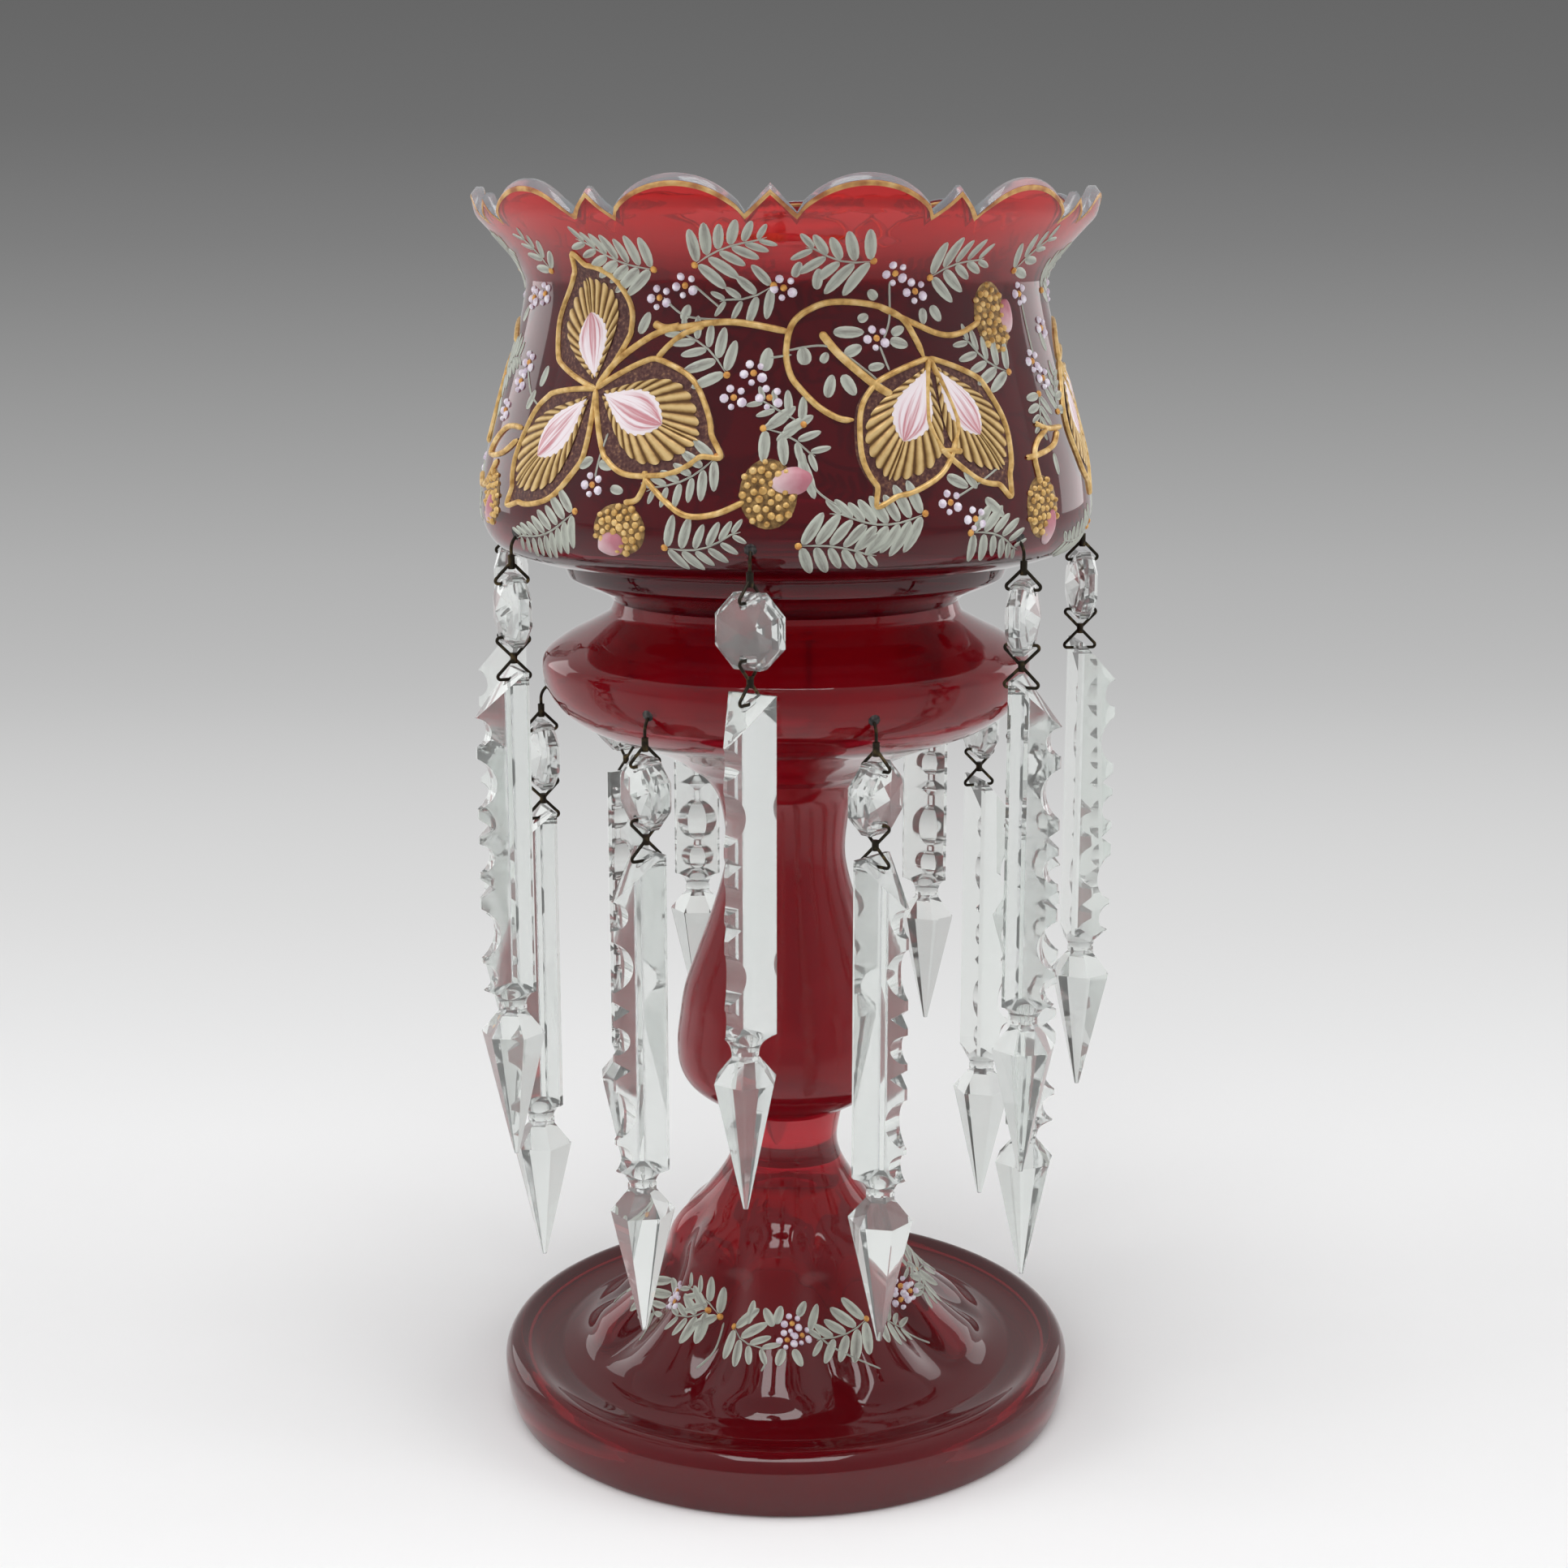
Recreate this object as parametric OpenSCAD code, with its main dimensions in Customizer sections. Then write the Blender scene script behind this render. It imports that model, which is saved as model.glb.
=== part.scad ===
// Mantel lustre: a scalloped ruby glass bowl on a pan, stem and foot,
// hung with two rings of cut crystal drops.
// Millimetres, +Z up. The origin is on the axis, in the plane that the foot stands on.
// The front faces -Y.

/* [Foot] */
// Height of the foot, from the table to the stem
foot_h = 91; // [80:1:110]
// Diameter of the joint between foot and stem
foot_joint_d = 34.4; // [30:0.2:40]
// Diameter of the foot's narrow neck
foot_neck_d = 31.2; // [26:0.2:34]
// Height of the foot's narrow neck
foot_neck_h = 82; // [76:0.5:86]
// Diameter of the dome's shoulder, where the flutes begin
shoulder_d = 69; // [60:0.5:76]
// Height of the dome's shoulder
shoulder_h = 52; // [46:0.5:58]
// Diameter where the flutes run out on the saucer
flute_end_d = 114; // [104:0.5:120]
// Height where the flutes run out on the saucer
flute_end_h = 20.5; // [18:0.5:24]
// Diameter of the saucer's lowest ring
trough_d = 138; // [130:0.5:144]
// Height of the saucer's lowest ring
trough_h = 15.6; // [13:0.2:17]
// Diameter of the saucer's raised crest
crest_d = 164; // [156:0.5:168]
// Height of the saucer's raised crest
crest_h = 18.6; // [17:0.2:22]
// Diameter of the saucer, at its widest
saucer_d = 172.6; // [170:0.2:190]
// Height at which the saucer is widest
saucer_edge_h = 12.5; // [10:0.5:14]
// Outer diameter of the ground ring that stands on the table
ground_d = 165.6; // [160:0.2:170]
// Width of the ground ring
ground_w = 5; // [3:0.5:7]
// Number of flutes on the dome
flute_count = 9; // [6:1:12]
// Radius of the round tool that cut the flutes
flute_tool_r = 5; // [4:0.5:6]
// Depth of each flute
flute_depth = 1.6; // [1:0.1:2]
// Turn of the first flute from the front
flute_turn = 15; // [0:1:40]

/* [Stem] */
// Height of the stem
stem_h = 105; // [90:1:130]
// Diameter of the stem's narrow waist
stem_waist_d = 35.2; // [30:0.2:40]
// Height of the narrow waist above the foot
stem_waist_h = 79; // [70:1:85]
// Diameter of the stem's bulb
bulb_d = 65.4; // [56:0.2:72]
// Height of the bulb's widest ring above the foot
bulb_h = 20.5; // [17:0.5:26]
// Diameter of the joint between stem and pan
pan_joint_d = 58; // [52:0.5:64]

/* [Pan] */
// Height of the pan that carries the lower drops
pan_h = 49.2; // [44:0.2:60]
// Diameter of the pan's widest ring
pan_d = 141.4; // [130:0.2:150]
// Height of the pan's widest ring above the stem
pan_edge_h = 31.5; // [28:0.5:36]
// Height of the lower drop holes above the stem
lower_hole_h = 24.8; // [22:0.2:28]
// Diameter of the neck between pan and bowl
neck_d = 99.4; // [92:0.2:106]

/* [Bowl] */
// Height of the bowl, from the neck to the tips of the scallops
bowl_h = 114.8; // [108:0.2:130]
// Diameter of the step under the bowl
collar_d = 126; // [118:0.5:130]
// Height of the step's edge above the neck
collar_h = 8; // [6:0.2:10]
// Height of the bowl's flat underside above the neck
base_h = 11.6; // [10.4:0.2:13]
// Diameter of the belly
belly_d = 173.8; // [165:0.2:180]
// Height of the belly above the neck
belly_h = 28.3; // [24:0.2:32]
// Height of the upper drop holes above the neck
upper_hole_h = 22.8; // [20:0.2:26]
// Diameter of the waist under the rim
waist_d = 146; // [138:0.5:152]
// Height of the waist above the neck
waist_h = 87.4; // [80:0.2:92]
// Diameter of the rim
rim_d = 174.6; // [166:0.2:182]
// Number of scallops on the rim
scallop_count = 11; // [8:1:14]
// Turn of the first small point on the rim from the front
scallop_turn = -2.6; // [-20:0.1:20]
// Depth of the cuts between scallops
scallop_depth = 9.5; // [6:0.5:12]
// Width across the two cuts beside each small point
point_w = 13.6; // [10:0.2:16]
// Drop of each small point below the scallop tips
point_drop = 2.6; // [1:0.2:4]

/* [Glass walls] */
// Wall of the bowl
bowl_wall = 3.5; // [2.6:0.1:4.2]
// Wall of the pan
pan_wall = 3; // [2.4:0.1:3.8]
// Wall of the stem
stem_wall = 3; // [2.4:0.1:4]
// Wall of the foot
foot_wall = 4; // [3:0.1:5]
// Diameter of the holes that the hooks pass through
drop_hole_d = 3; // [2.6:0.1:3.6]

/* [Drops] */
// Number of drops in each ring
drop_count = 7; // [5:1:7]
// Turn of the first upper drop from the front
upper_turn = -6; // [-20:1:20]
// Turn of the first lower drop from the front
lower_turn = 19.5; // [10:0.5:30]
// Diameter of the brass wire
wire_d = 0.9; // [0.7:0.05:1]
// Diameter of the twisted part of the wire
twist_d = 1.9; // [1.6:0.1:2.2]
// Radius of the hook through the glass, at the middle of the wire
hook_r = 4.4; // [4:0.1:5]
// Turn of the hook, from its shank over and in through the glass
hook_wrap = 115; // [105:1:125]
// Length of the shank between hook and bow
shank_l = 3.4; // [3:0.1:6]
// Radius of the bends in bow and link, at the middle of the wire
eye_bend_r = 0.8; // [0.6:0.05:1]
// Angle of the bends in bow and link
eye_bend = 135; // [130:1:140]

/* [Beads] */
// Size of the octagon bead across its flats
bead_d = 19.6; // [16:0.2:22]
// Thickness of the bead at its edge
bead_edge = 3; // [2:0.1:4]
// Rise of the bevel round each face of the bead
bead_bevel = 1.2; // [0.8:0.1:1.6]
// Width of that bevel
bead_bevel_w = 1.3; // [1:0.1:1.4]
// Rise of the pointed middle of each face
bead_crown = 2.2; // [1.4:0.1:3]
// Diameter of the holes in beads and prisms
bead_hole_d = 2.4; // [2.1:0.1:2.8]
// Distance from the middle of a bead's hole to its edge
bead_hole_in = 2.9; // [2.4:0.1:3.4]

/* [Prisms] */
// Width of the prism's back face
prism_w = 16; // [13:0.2:18]
// Depth of the prism from its back to its ridge
prism_depth = 14.2; // [12:0.2:16]
// Distance from the hanging line to the prism's back face
prism_back = 2; // [1.8:0.1:2.4]
// Width of the flats along the prism's edges
prism_flat = 1.2; // [0.6:0.1:1.8]
// Length of the three-sided bar
bar_l = 89; // [75:1:105]
// Slope of the bevel at the top of the bar, from upright
top_bevel = 44; // [32:1:48]
// Distance from the middle of the prism's hole to its top
prism_hole_in = 2.9; // [2.6:0.1:3]
// Diameter of the neck between bar and spear
spear_neck_d = 7.2; // [5.5:0.1:8.5]
// Length of the neck between bar and spear
spear_neck_l = 7; // [5:0.5:9]
// Radius of the hollow above the neck
neck_hollow_r = 6; // [5:0.5:8]
// Width of the six-sided spear across its corners
spear_d = 18; // [14:0.2:20]
// Length of the spear's flared top
spear_top_l = 6; // [4:0.5:8]
// Length of the spear's taper
spear_l = 36; // [28:1:44]
// Width of the spear's blunt tip
spear_tip_d = 1.4; // [0.8:0.1:2]
// Half length of a small round notch along the ridge
small_notch = 4; // [3:0.1:4.4]
// Half length of a large round notch along the ridge
large_notch = 7.4; // [6:0.1:8]
// Half length of a pointed notch along the ridge
point_notch = 3.3; // [2.5:0.1:4]
// Depth of the small and pointed notches
notch_depth = 4.6; // [3:0.1:5.5]
// Depth of the large notches
large_notch_depth = 5.6; // [4:0.1:6.5]

/* [Clearances] */
// Gap between a wire and the side of the hole that it hangs in
seat_gap = 0.35; // [0.25:0.05:0.5]
// Gap between the legs of a bow or link and the glass that they straddle
side_gap = 0.8; // [0.7:0.05:1]

/* [Hidden] */
$fn = 96;

// Turn of each drop about its own hanging line, counted from the drop nearest the front
upper_twists = [-28, 26, 0, 12, -18, 8, -8];
lower_twists = [30, 6, -14, 20, -10, 16, -22];

// Shapes between the stations of each outline: share of the height, then share of the radius
neck_to_shoulder = [[0.21, 0.05], [0.43, 0.23], [0.66, 0.51], [0.83, 0.8]];
shoulder_to_flute_end = [[0.19, 0.09], [0.4, 0.23], [0.61, 0.42], [0.82, 0.69]];
flute_end_to_trough = [[0.67, 0.5]];
trough_to_crest = [[0.27, 0.46], [0.87, 0.81]];
crest_to_edge = [[0.2, 0.6], [0.59, 0.93]];
edge_to_ground = [[0.36, 0.09], [0.71, 0.37], [0.93, 0.69]];
base_to_bulb = [[0.05, 0.12], [0.16, 0.37], [0.29, 0.63], [0.45, 0.84], [0.68, 0.97]];
bulb_to_waist = [[0.12, 0.05], [0.29, 0.16], [0.49, 0.43], [0.66, 0.67], [0.86, 0.91]];
waist_to_pan = [[0.35, 0.06], [0.62, 0.2], [0.77, 0.39], [0.9, 0.65]];
pan_under = [[0.09, 0.1], [0.19, 0.25], [0.32, 0.5], [0.4, 0.67],
    [0.48, 0.78], [0.58, 0.88], [0.7, 0.95], [0.84, 0.99]];
pan_over = [[0.18, 0.08], [0.41, 0.35], [0.58, 0.63], [0.76, 0.9], [0.88, 0.97]];
neck_to_collar = [[0.3, 0.21], [0.59, 0.62], [0.83, 0.92]];
base_to_belly = [[0.05, 0.25], [0.12, 0.48], [0.24, 0.72], [0.4, 0.87], [0.67, 0.97]];
belly_to_waist = [[0.21, 0.12], [0.43, 0.37], [0.66, 0.65], [0.87, 0.89]];
waist_to_rim = [[0.14, 0.04], [0.27, 0.15], [0.41, 0.32], [0.54, 0.52], [0.68, 0.74], [0.81, 0.93]];
// Height of the straight part at the rim, and how much wider the bowl's underside begins than its step
rim_rise = 3;
collar_lean = 1.2;
// Height of the plain inner lip at the top of the stem
joint_lip = 1;

// How far the cuts of the scallops run past the rim outwards and upwards, and past each other
cut_reach = 1;
cut_rise = 5;
cut_lap = 0.4;

// Sides of the bead and of the spear, and facets round a wire and round a notch
bead_sides = 8;
spear_sides = 6;
wire_facets = 32;
notch_facets = 48;

// The small swelling where a bend of wire ends, and how far inside it and the twist the leg's ends lie
knuckle = 1.06;
knuckle_gap = 0.05;
leg_short = 0.35;
// How far the spear's neck reaches up into the bar, and how much wider it is across its corners
neck_lap = 1;
neck_wide = 1.1;

// Turn of a bead's holes about their own axes, which keeps their seams off the bead's plane of symmetry
seam_turn = 35;
// How far a pointed notch's tool stands out past the ridge
notch_over = 1;
// Notches down the ridge of a prism: place along the bar as a share of its length, and kind
notches = [[0.185, "small"], [0.345, "large"], [0.484, "point"], [0.579, "small"],
    [0.674, "point"], [0.818, "large"], [0.958, "small"]];

// Steps of a smooth curve between two stations
curve_steps = 3;

stem_z = foot_h;
pan_z = stem_z + stem_h;
neck_z = pan_z + pan_h;
lustre_h = neck_z + bowl_h;
rim_z = lustre_h - rim_rise;
valley_z = lustre_h - scallop_depth;

// Points between two stations, at the given shares of height and radius
function between(from, to, shares) =
    [for (s = shares) [from[0] + (to[0] - from[0]) * s[1], from[1] + (to[1] - from[1]) * s[0]]];

// A smooth curve through all the points of a list
function smooth(p) = let(last = len(p) - 1) concat(
    [for (i = [0:last - 1], k = [0:curve_steps - 1])
        let(a = p[max(i - 1, 0)], b = p[i], c = p[i + 1], d = p[min(i + 2, last)], t = k / curve_steps)
        (2 * b + (c - a) * t + (2 * a - 5 * b + 4 * c - d) * pow(t, 2)
            + (3 * b - a - 3 * c + d) * pow(t, 3)) / 2],
    [p[last]]);

// The curve moved sideways by a wall, to the left of its direction of travel
function inset(p, wall) = let(last = len(p) - 1)
    [for (i = [0:last]) let(way = p[min(i + 1, last)] - p[max(i - 1, 0)])
        p[i] + wall * [-way[1], way[0]] / norm(way)];

// A part of a list
function part_of(p, first, last) = [for (i = [first:last]) p[i]];

// The radius of an outline at a height
function radius_at(outline, z) = lookup(z, [for (p = outline) [p[1], p[0]]]);

// The centre of the circle through three points
function circle_centre(a, b, c) =
    let(p = b - a, q = c - a, twice = 2 * (p[0] * q[1] - p[1] * q[0]))
    a + [q[1] * (p * p) - p[1] * (q * q), p[0] * (q * q) - q[0] * (p * p)] / twice;

// Stations of the foot's upper face, from the ground up
ground = [ground_d / 2, 0];
saucer_edge = [saucer_d / 2, saucer_edge_h];
crest = [crest_d / 2, crest_h];
trough = [trough_d / 2, trough_h];
flute_end = [flute_end_d / 2, flute_end_h];
shoulder = [shoulder_d / 2, shoulder_h];
foot_neck = [foot_neck_d / 2, foot_neck_h];
foot_joint = [foot_joint_d / 2, foot_h];
foot_dome = concat([foot_joint, foot_neck], between(foot_neck, shoulder, neck_to_shoulder), [shoulder],
    between(shoulder, flute_end, shoulder_to_flute_end), [flute_end],
    between(flute_end, trough, flute_end_to_trough), [trough]);
foot_saucer = concat([trough], between(trough, crest, trough_to_crest), [crest],
    between(crest, saucer_edge, crest_to_edge), [saucer_edge],
    between(saucer_edge, ground, edge_to_ground), [ground]);
foot_outline = concat(smooth(foot_dome),
    part_of(smooth(foot_saucer), 1, curve_steps * (len(foot_saucer) - 1)));
// The hollow under the foot follows the dome from its third station down, one wall inside it
dome_start = 3 * curve_steps;
dome_inside = inset(part_of(foot_outline, dome_start, curve_steps * (len(foot_dome) - 1)), -foot_wall);
rim_inside = [crest_d / 2 - foot_wall / 2, crest_h - foot_wall];
foot_hollow = concat([[0, dome_inside[0][1] + foot_wall / 2]], dome_inside,
    smooth([dome_inside[len(dome_inside) - 1], rim_inside,
        [ground_d / 2 - ground_w + 1, saucer_edge_h / 2], [ground_d / 2 - ground_w, 0]]));

// Stations of the stem, from the foot up
bulb = [bulb_d / 2, stem_z + bulb_h];
stem_waist = [stem_waist_d / 2, stem_z + stem_waist_h];
pan_joint = [pan_joint_d / 2, pan_z];
stem_outline = smooth(concat([foot_joint], between(foot_joint, bulb, base_to_bulb), [bulb],
    between(bulb, stem_waist, bulb_to_waist), [stem_waist],
    between(stem_waist, pan_joint, waist_to_pan), [pan_joint]));
stem_inside = inset(stem_outline, stem_wall);

// Stations of the pan, from the stem up
pan_edge = [pan_d / 2, pan_z + pan_edge_h];
neck = [neck_d / 2, neck_z];
pan_outline = smooth(concat([pan_joint], between(pan_joint, pan_edge, pan_under), [pan_edge],
    between(pan_edge, neck, pan_over), [neck]));
pan_inside = inset(pan_outline, pan_wall);

// Stations of the bowl, from the neck up
collar = [collar_d / 2, neck_z + collar_h];
base = [collar_d / 2 + collar_lean, neck_z + base_h];
belly = [belly_d / 2, neck_z + belly_h];
waist = [waist_d / 2, neck_z + waist_h];
rim = [rim_d / 2, rim_z];
bowl_collar = smooth(concat([neck], between(neck, collar, neck_to_collar), [collar, base]));
bowl_side = smooth(concat([base], between(base, belly, base_to_belly), [belly],
    between(belly, waist, belly_to_waist), [waist],
    between(waist, rim, waist_to_rim), [rim, [rim_d / 2, lustre_h]]));
bowl_inside = inset(bowl_side, bowl_wall);
bowl_throat = [neck_d / 2 - pan_wall, neck_z];
bowl_floor = smooth([bowl_throat, [bowl_throat[0], neck_z + collar_h / 2],
    (bowl_throat + bowl_inside[0]) / 2 + [0, collar_h / 3], bowl_inside[0]]);

// Drop holes are drilled square to the leaning wall: its lean from upright, and the hole's middle in the wall
function lean_at(outline, z) = atan2(radius_at(outline, z + 1) - radius_at(outline, z - 1), 2);
function hole_middle(outline, z, wall) = let(lean = lean_at(outline, z))
    [radius_at(outline, z), z] + wall / 2 * [-cos(lean), sin(lean)];
upper_hole_z = neck_z + upper_hole_h;
upper_lean = lean_at(bowl_side, upper_hole_z);
upper_hole = hole_middle(bowl_side, upper_hole_z, bowl_wall);
lower_hole_z = pan_z + lower_hole_h;
pan_underside = part_of(pan_outline, 0, curve_steps * (len(pan_under) + 1));
lower_lean = lean_at(pan_underside, lower_hole_z);
lower_hole = hole_middle(pan_underside, lower_hole_z, pan_wall);

// The middle of a hook, which curves through its hole and hangs just above the hole's lower side
wire_r = wire_d / 2;
function hook_middle(hole, lean, wall) =
    hole - (drop_hole_d / 2 - wire_r - seat_gap + sqrt(pow(hook_r, 2) - pow(wall / 2, 2)))
        * [sin(lean), cos(lean)];
upper_hook = hook_middle(upper_hole, upper_lean, bowl_wall);
lower_hook = hook_middle(lower_hole, lower_lean, pan_wall);

// Glass that the bows and links straddle, to each side of the hanging line
knuckle_d = knuckle * wire_d;
bead_hole_r = bead_hole_d / 2;
bead_table = bead_d / 2 - bead_bevel_w;
bead_hole_off = bead_d / 2 - bead_hole_in;
bead_half = bead_edge / 2 + bead_bevel + bead_crown * (1 - bead_hole_off / bead_table);
eye_half = max(bead_half, prism_back) + side_gap + wire_r - eye_bend_r * sin(eye_bend);

// A bow's legs lean in at the bend and meet on the hanging line
leg_start = [eye_half + eye_bend_r * sin(eye_bend), eye_bend_r * (1 - cos(eye_bend))];
leg_l = leg_start[0] / -cos(eye_bend);
eye_h = leg_start[1] + leg_l * sin(eye_bend);
wire_slack = bead_hole_r - wire_r - seat_gap;

// Heights down a drop, counted from the middle of its hook
bow_run = -shank_l - eye_h;
bead_mid = bow_run - wire_slack - bead_hole_off;
link_top = bead_mid - bead_hole_off - wire_slack;
link_run = link_top - 2 * eye_h;
prism_hole = link_run - wire_slack;
prism_top = prism_hole + prism_hole_in;

// Prism stations, counted down from its top, and its section
spear_neck_z = -bar_l - neck_hollow_r;
spear_top_z = spear_neck_z - spear_neck_l + neck_hollow_r;
spear_wide_z = spear_top_z - spear_top_l;
spear_tip_z = spear_wide_z - spear_l;
spear_axis = prism_depth / 3 - prism_back;
ridge_x = prism_depth - prism_back;

rings = ["upper", "lower"];
pieces = ["hanger", "bead", "link", "prism"];

// Turn a shape so that its +X points outwards at an angle from the front
module facing(turn) rotate([0, 0, turn - 90]) children();

// A shell turned from an outline and the curve inside it
module turned(outline, inside) rotate_extrude()
    polygon(concat(outline, [for (i = [len(inside) - 1:-1:0]) inside[i]]));

// Round holes drilled through a wall, one for each drop
module drop_holes(hole, lean, wall, turn) {
    for (i = [0:drop_count - 1]) facing(turn + i * 360 / drop_count)
        translate([hole[0], 0, hole[1]]) rotate([0, 90 + lean, 0])
            cylinder(d = drop_hole_d, h = 3 * wall, center = true);
}

// What is cut away above the rim: round scallops with a small point between each two
module scallop_cuts() {
    step = 360 / scallop_count;
    reach = rim_d / 2 + cut_reach;
    half_point = point_w / 2;
    half_lobe = reach * sin(step / 2 - asin(half_point / reach)) + cut_lap;
    lobe_r = (half_lobe * half_lobe + scallop_depth * scallop_depth) / (2 * scallop_depth);
    cut_h = scallop_depth + cut_rise;
    for (i = [0:scallop_count - 1]) {
        facing(scallop_turn + i * step) across_rim()
            polygon([[-half_point, valley_z], [0, lustre_h - point_drop], [half_point, valley_z],
                [half_point, valley_z + cut_h], [-half_point, valley_z + cut_h]]);
        facing(scallop_turn + (i + 0.5) * step) across_rim() difference() {
            translate([-half_lobe, valley_z]) square([2 * half_lobe, cut_h]);
            translate([0, lustre_h - lobe_r]) circle(r = lobe_r);
        }
    }
}

// Carry a flat shape outwards across the rim
module across_rim() translate([waist_d / 2 - bowl_wall, 0, 0]) rotate([90, 0, 90])
    linear_extrude(rim_d / 2 - waist_d / 2 + 4 * bowl_wall) children();

module bowl() color("firebrick") difference() {
    turned(concat(bowl_collar, part_of(bowl_side, 1, len(bowl_side) - 1)),
        concat(part_of(bowl_floor, 0, len(bowl_floor) - 2), bowl_inside));
    scallop_cuts();
    drop_holes(upper_hole, upper_lean, bowl_wall, upper_turn);
}

module pan() color("firebrick") difference() {
    turned(pan_outline, concat([[pan_joint_d / 2 - stem_wall, pan_z]],
        part_of(pan_inside, 1, len(pan_inside) - 2), [bowl_throat]));
    drop_holes(lower_hole, lower_lean, pan_wall, lower_turn);
}

module stem() color("firebrick") turned(concat([[0, stem_z]], stem_outline),
    concat([[0, stem_inside[1][1]]], [for (i = [1:len(stem_inside) - 1])
        if (stem_inside[i][1] < pan_z - joint_lip) stem_inside[i]],
        [[pan_joint_d / 2 - stem_wall, pan_z]]));

// One flute: a groove that follows the hollow curve of the dome, with round ends
module flute() {
    span = between(shoulder, flute_end, shoulder_to_flute_end);
    centre = circle_centre(span[0], span[2], flute_end);
    groove_r = norm(flute_end - centre) - flute_tool_r + flute_depth;
    start = atan2(span[1][1] - centre[1], span[1][0] - centre[0]);
    finish = atan2(flute_end[1] - centre[1], flute_end[0] - centre[0]);
    translate([centre[0], 0, centre[1]]) rotate([90, 0, 0]) rotate([0, 0, start]) {
        rotate_extrude(angle = finish - start) translate([groove_r, 0]) circle(r = flute_tool_r);
        for (turn = [0, finish - start]) rotate([0, 0, turn]) translate([groove_r, 0, 0])
            sphere(r = flute_tool_r);
    }
}

module foot() color("darkred") difference() {
    rotate_extrude() polygon(concat([[0, foot_h]], foot_outline,
        [for (i = [len(foot_hollow) - 1:-1:0]) foot_hollow[i]]));
    for (i = [0:flute_count - 1]) facing(flute_turn + i * 360 / flute_count) flute();
}

// Place a drop's piece: at its angle, on its hanging line, with its hook's middle at z = 0
module hung(ring, i, twist = true) {
    upper = ring == "upper";
    hook = upper ? upper_hook : lower_hook;
    turn = (upper ? upper_turn : lower_turn) + (i - 1) * 360 / drop_count;
    twists = upper ? upper_twists : lower_twists;
    own_twist = twists[(i - 1) % len(twists)];
    facing(turn) translate([hook[0] + hook_r, 0, hook[1]]) rotate([0, 0, twist ? own_twist : 0]) children();
}

// A bow of wire: a straight run through a hole, two bends, and legs that meet above it
module bow() {
    rotate([0, 90, 0]) cylinder(d = wire_d, h = 2 * eye_half, center = true, $fn = wire_facets);
    for (side = [0, 180]) rotate([0, 0, side]) {
        translate([eye_half, 0, eye_bend_r]) rotate([90, 0, 0]) rotate([0, 0, -90])
            rotate_extrude(angle = eye_bend, $fn = wire_facets) translate([eye_bend_r, 0]) circle(d = wire_d);
        translate([leg_start[0], 0, leg_start[1]]) {
            sphere(d = knuckle_d, $fn = wire_facets);
            rotate([0, 90 - eye_bend, 0]) translate([0, 0, knuckle_gap])
                cylinder(d = wire_d, h = leg_l - leg_short, $fn = wire_facets);
        }
    }
}

// A short twist of wire that binds the legs
module twist(h) translate([0, 0, -h / 2]) cylinder(d = twist_d, h = h, $fn = wire_facets);

module hanger(ring, i) color("dimgray") union() {
    hung(ring, i, false) {
        translate([-hook_r, 0, 0]) rotate([90, 0, 0]) rotate_extrude(angle = hook_wrap)
            translate([hook_r, 0]) circle(d = wire_d, $fn = wire_facets);
        translate([0, 0, -shank_l]) cylinder(d = wire_d, h = shank_l, $fn = wire_facets);
        translate([0, 0, -shank_l]) twist(2 * twist_d);
    }
    hung(ring, i) translate([0, 0, bow_run]) bow();
}

// Half of the bead's outline: pointed middle, bevel and edge, at the octagon's corners
module bead_half_outline() {
    bevel_z = bead_edge / 2 + bead_bevel;
    corner_r = bead_d / 2 / cos(180 / bead_sides);
    table_r = bead_table / cos(180 / bead_sides);
    polygon([[0, -bevel_z - bead_crown], [table_r, -bevel_z], [corner_r, -bead_edge / 2],
        [corner_r, bead_edge / 2], [table_r, bevel_z], [0, bevel_z + bead_crown]]);
}

module bead(ring, i) color("aliceblue") hung(ring, i) translate([0, 0, bead_mid]) difference() {
    rotate([0, 90, 0]) rotate([0, 0, 180 / bead_sides]) rotate_extrude($fn = bead_sides) bead_half_outline();
    for (side = [-1, 1]) translate([0, 0, side * bead_hole_off]) rotate([0, 90, 0]) rotate([0, 0, seam_turn])
        cylinder(d = bead_hole_d, h = bead_d, center = true, $fn = wire_facets);
}

module link(ring, i) color("dimgray") hung(ring, i) {
    translate([0, 0, link_run]) bow();
    translate([0, 0, link_top]) rotate([180, 0, 0]) bow();
    translate([0, 0, link_run + eye_h]) twist(1.5 * twist_d);
}

// A point at a set distance from one point towards another
function step_in(from, to, way) = from + way * (to - from) / norm(to - from);

// The bar's three-sided section, with a flat along each edge
module prism_section() {
    back_left = [-prism_back, -prism_w / 2];
    back_right = [-prism_back, prism_w / 2];
    ridge = [ridge_x, 0];
    polygon([step_in(back_left, back_right, prism_flat), step_in(back_right, back_left, prism_flat),
        step_in(back_right, ridge, prism_flat), step_in(ridge, back_right, prism_flat),
        step_in(ridge, back_left, prism_flat), step_in(back_left, ridge, prism_flat)]);
}

// One notch across the ridge: round of a set half length and depth, or pointed
module notch(kind) {
    half = kind == "large" ? large_notch : small_notch;
    deep = kind == "large" ? large_notch_depth : notch_depth;
    round_r = (half * half + deep * deep) / (2 * deep);
    wide = point_notch * (1 + notch_over / notch_depth);
    rotate([90, 0, 0]) linear_extrude(prism_w, center = true) {
        if (kind == "point")
            polygon([[-notch_depth, 0], [notch_over, wide], [notch_over, -wide]]);
        else
            translate([round_r - deep, 0]) circle(r = round_r, $fn = notch_facets);
    }
}

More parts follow.
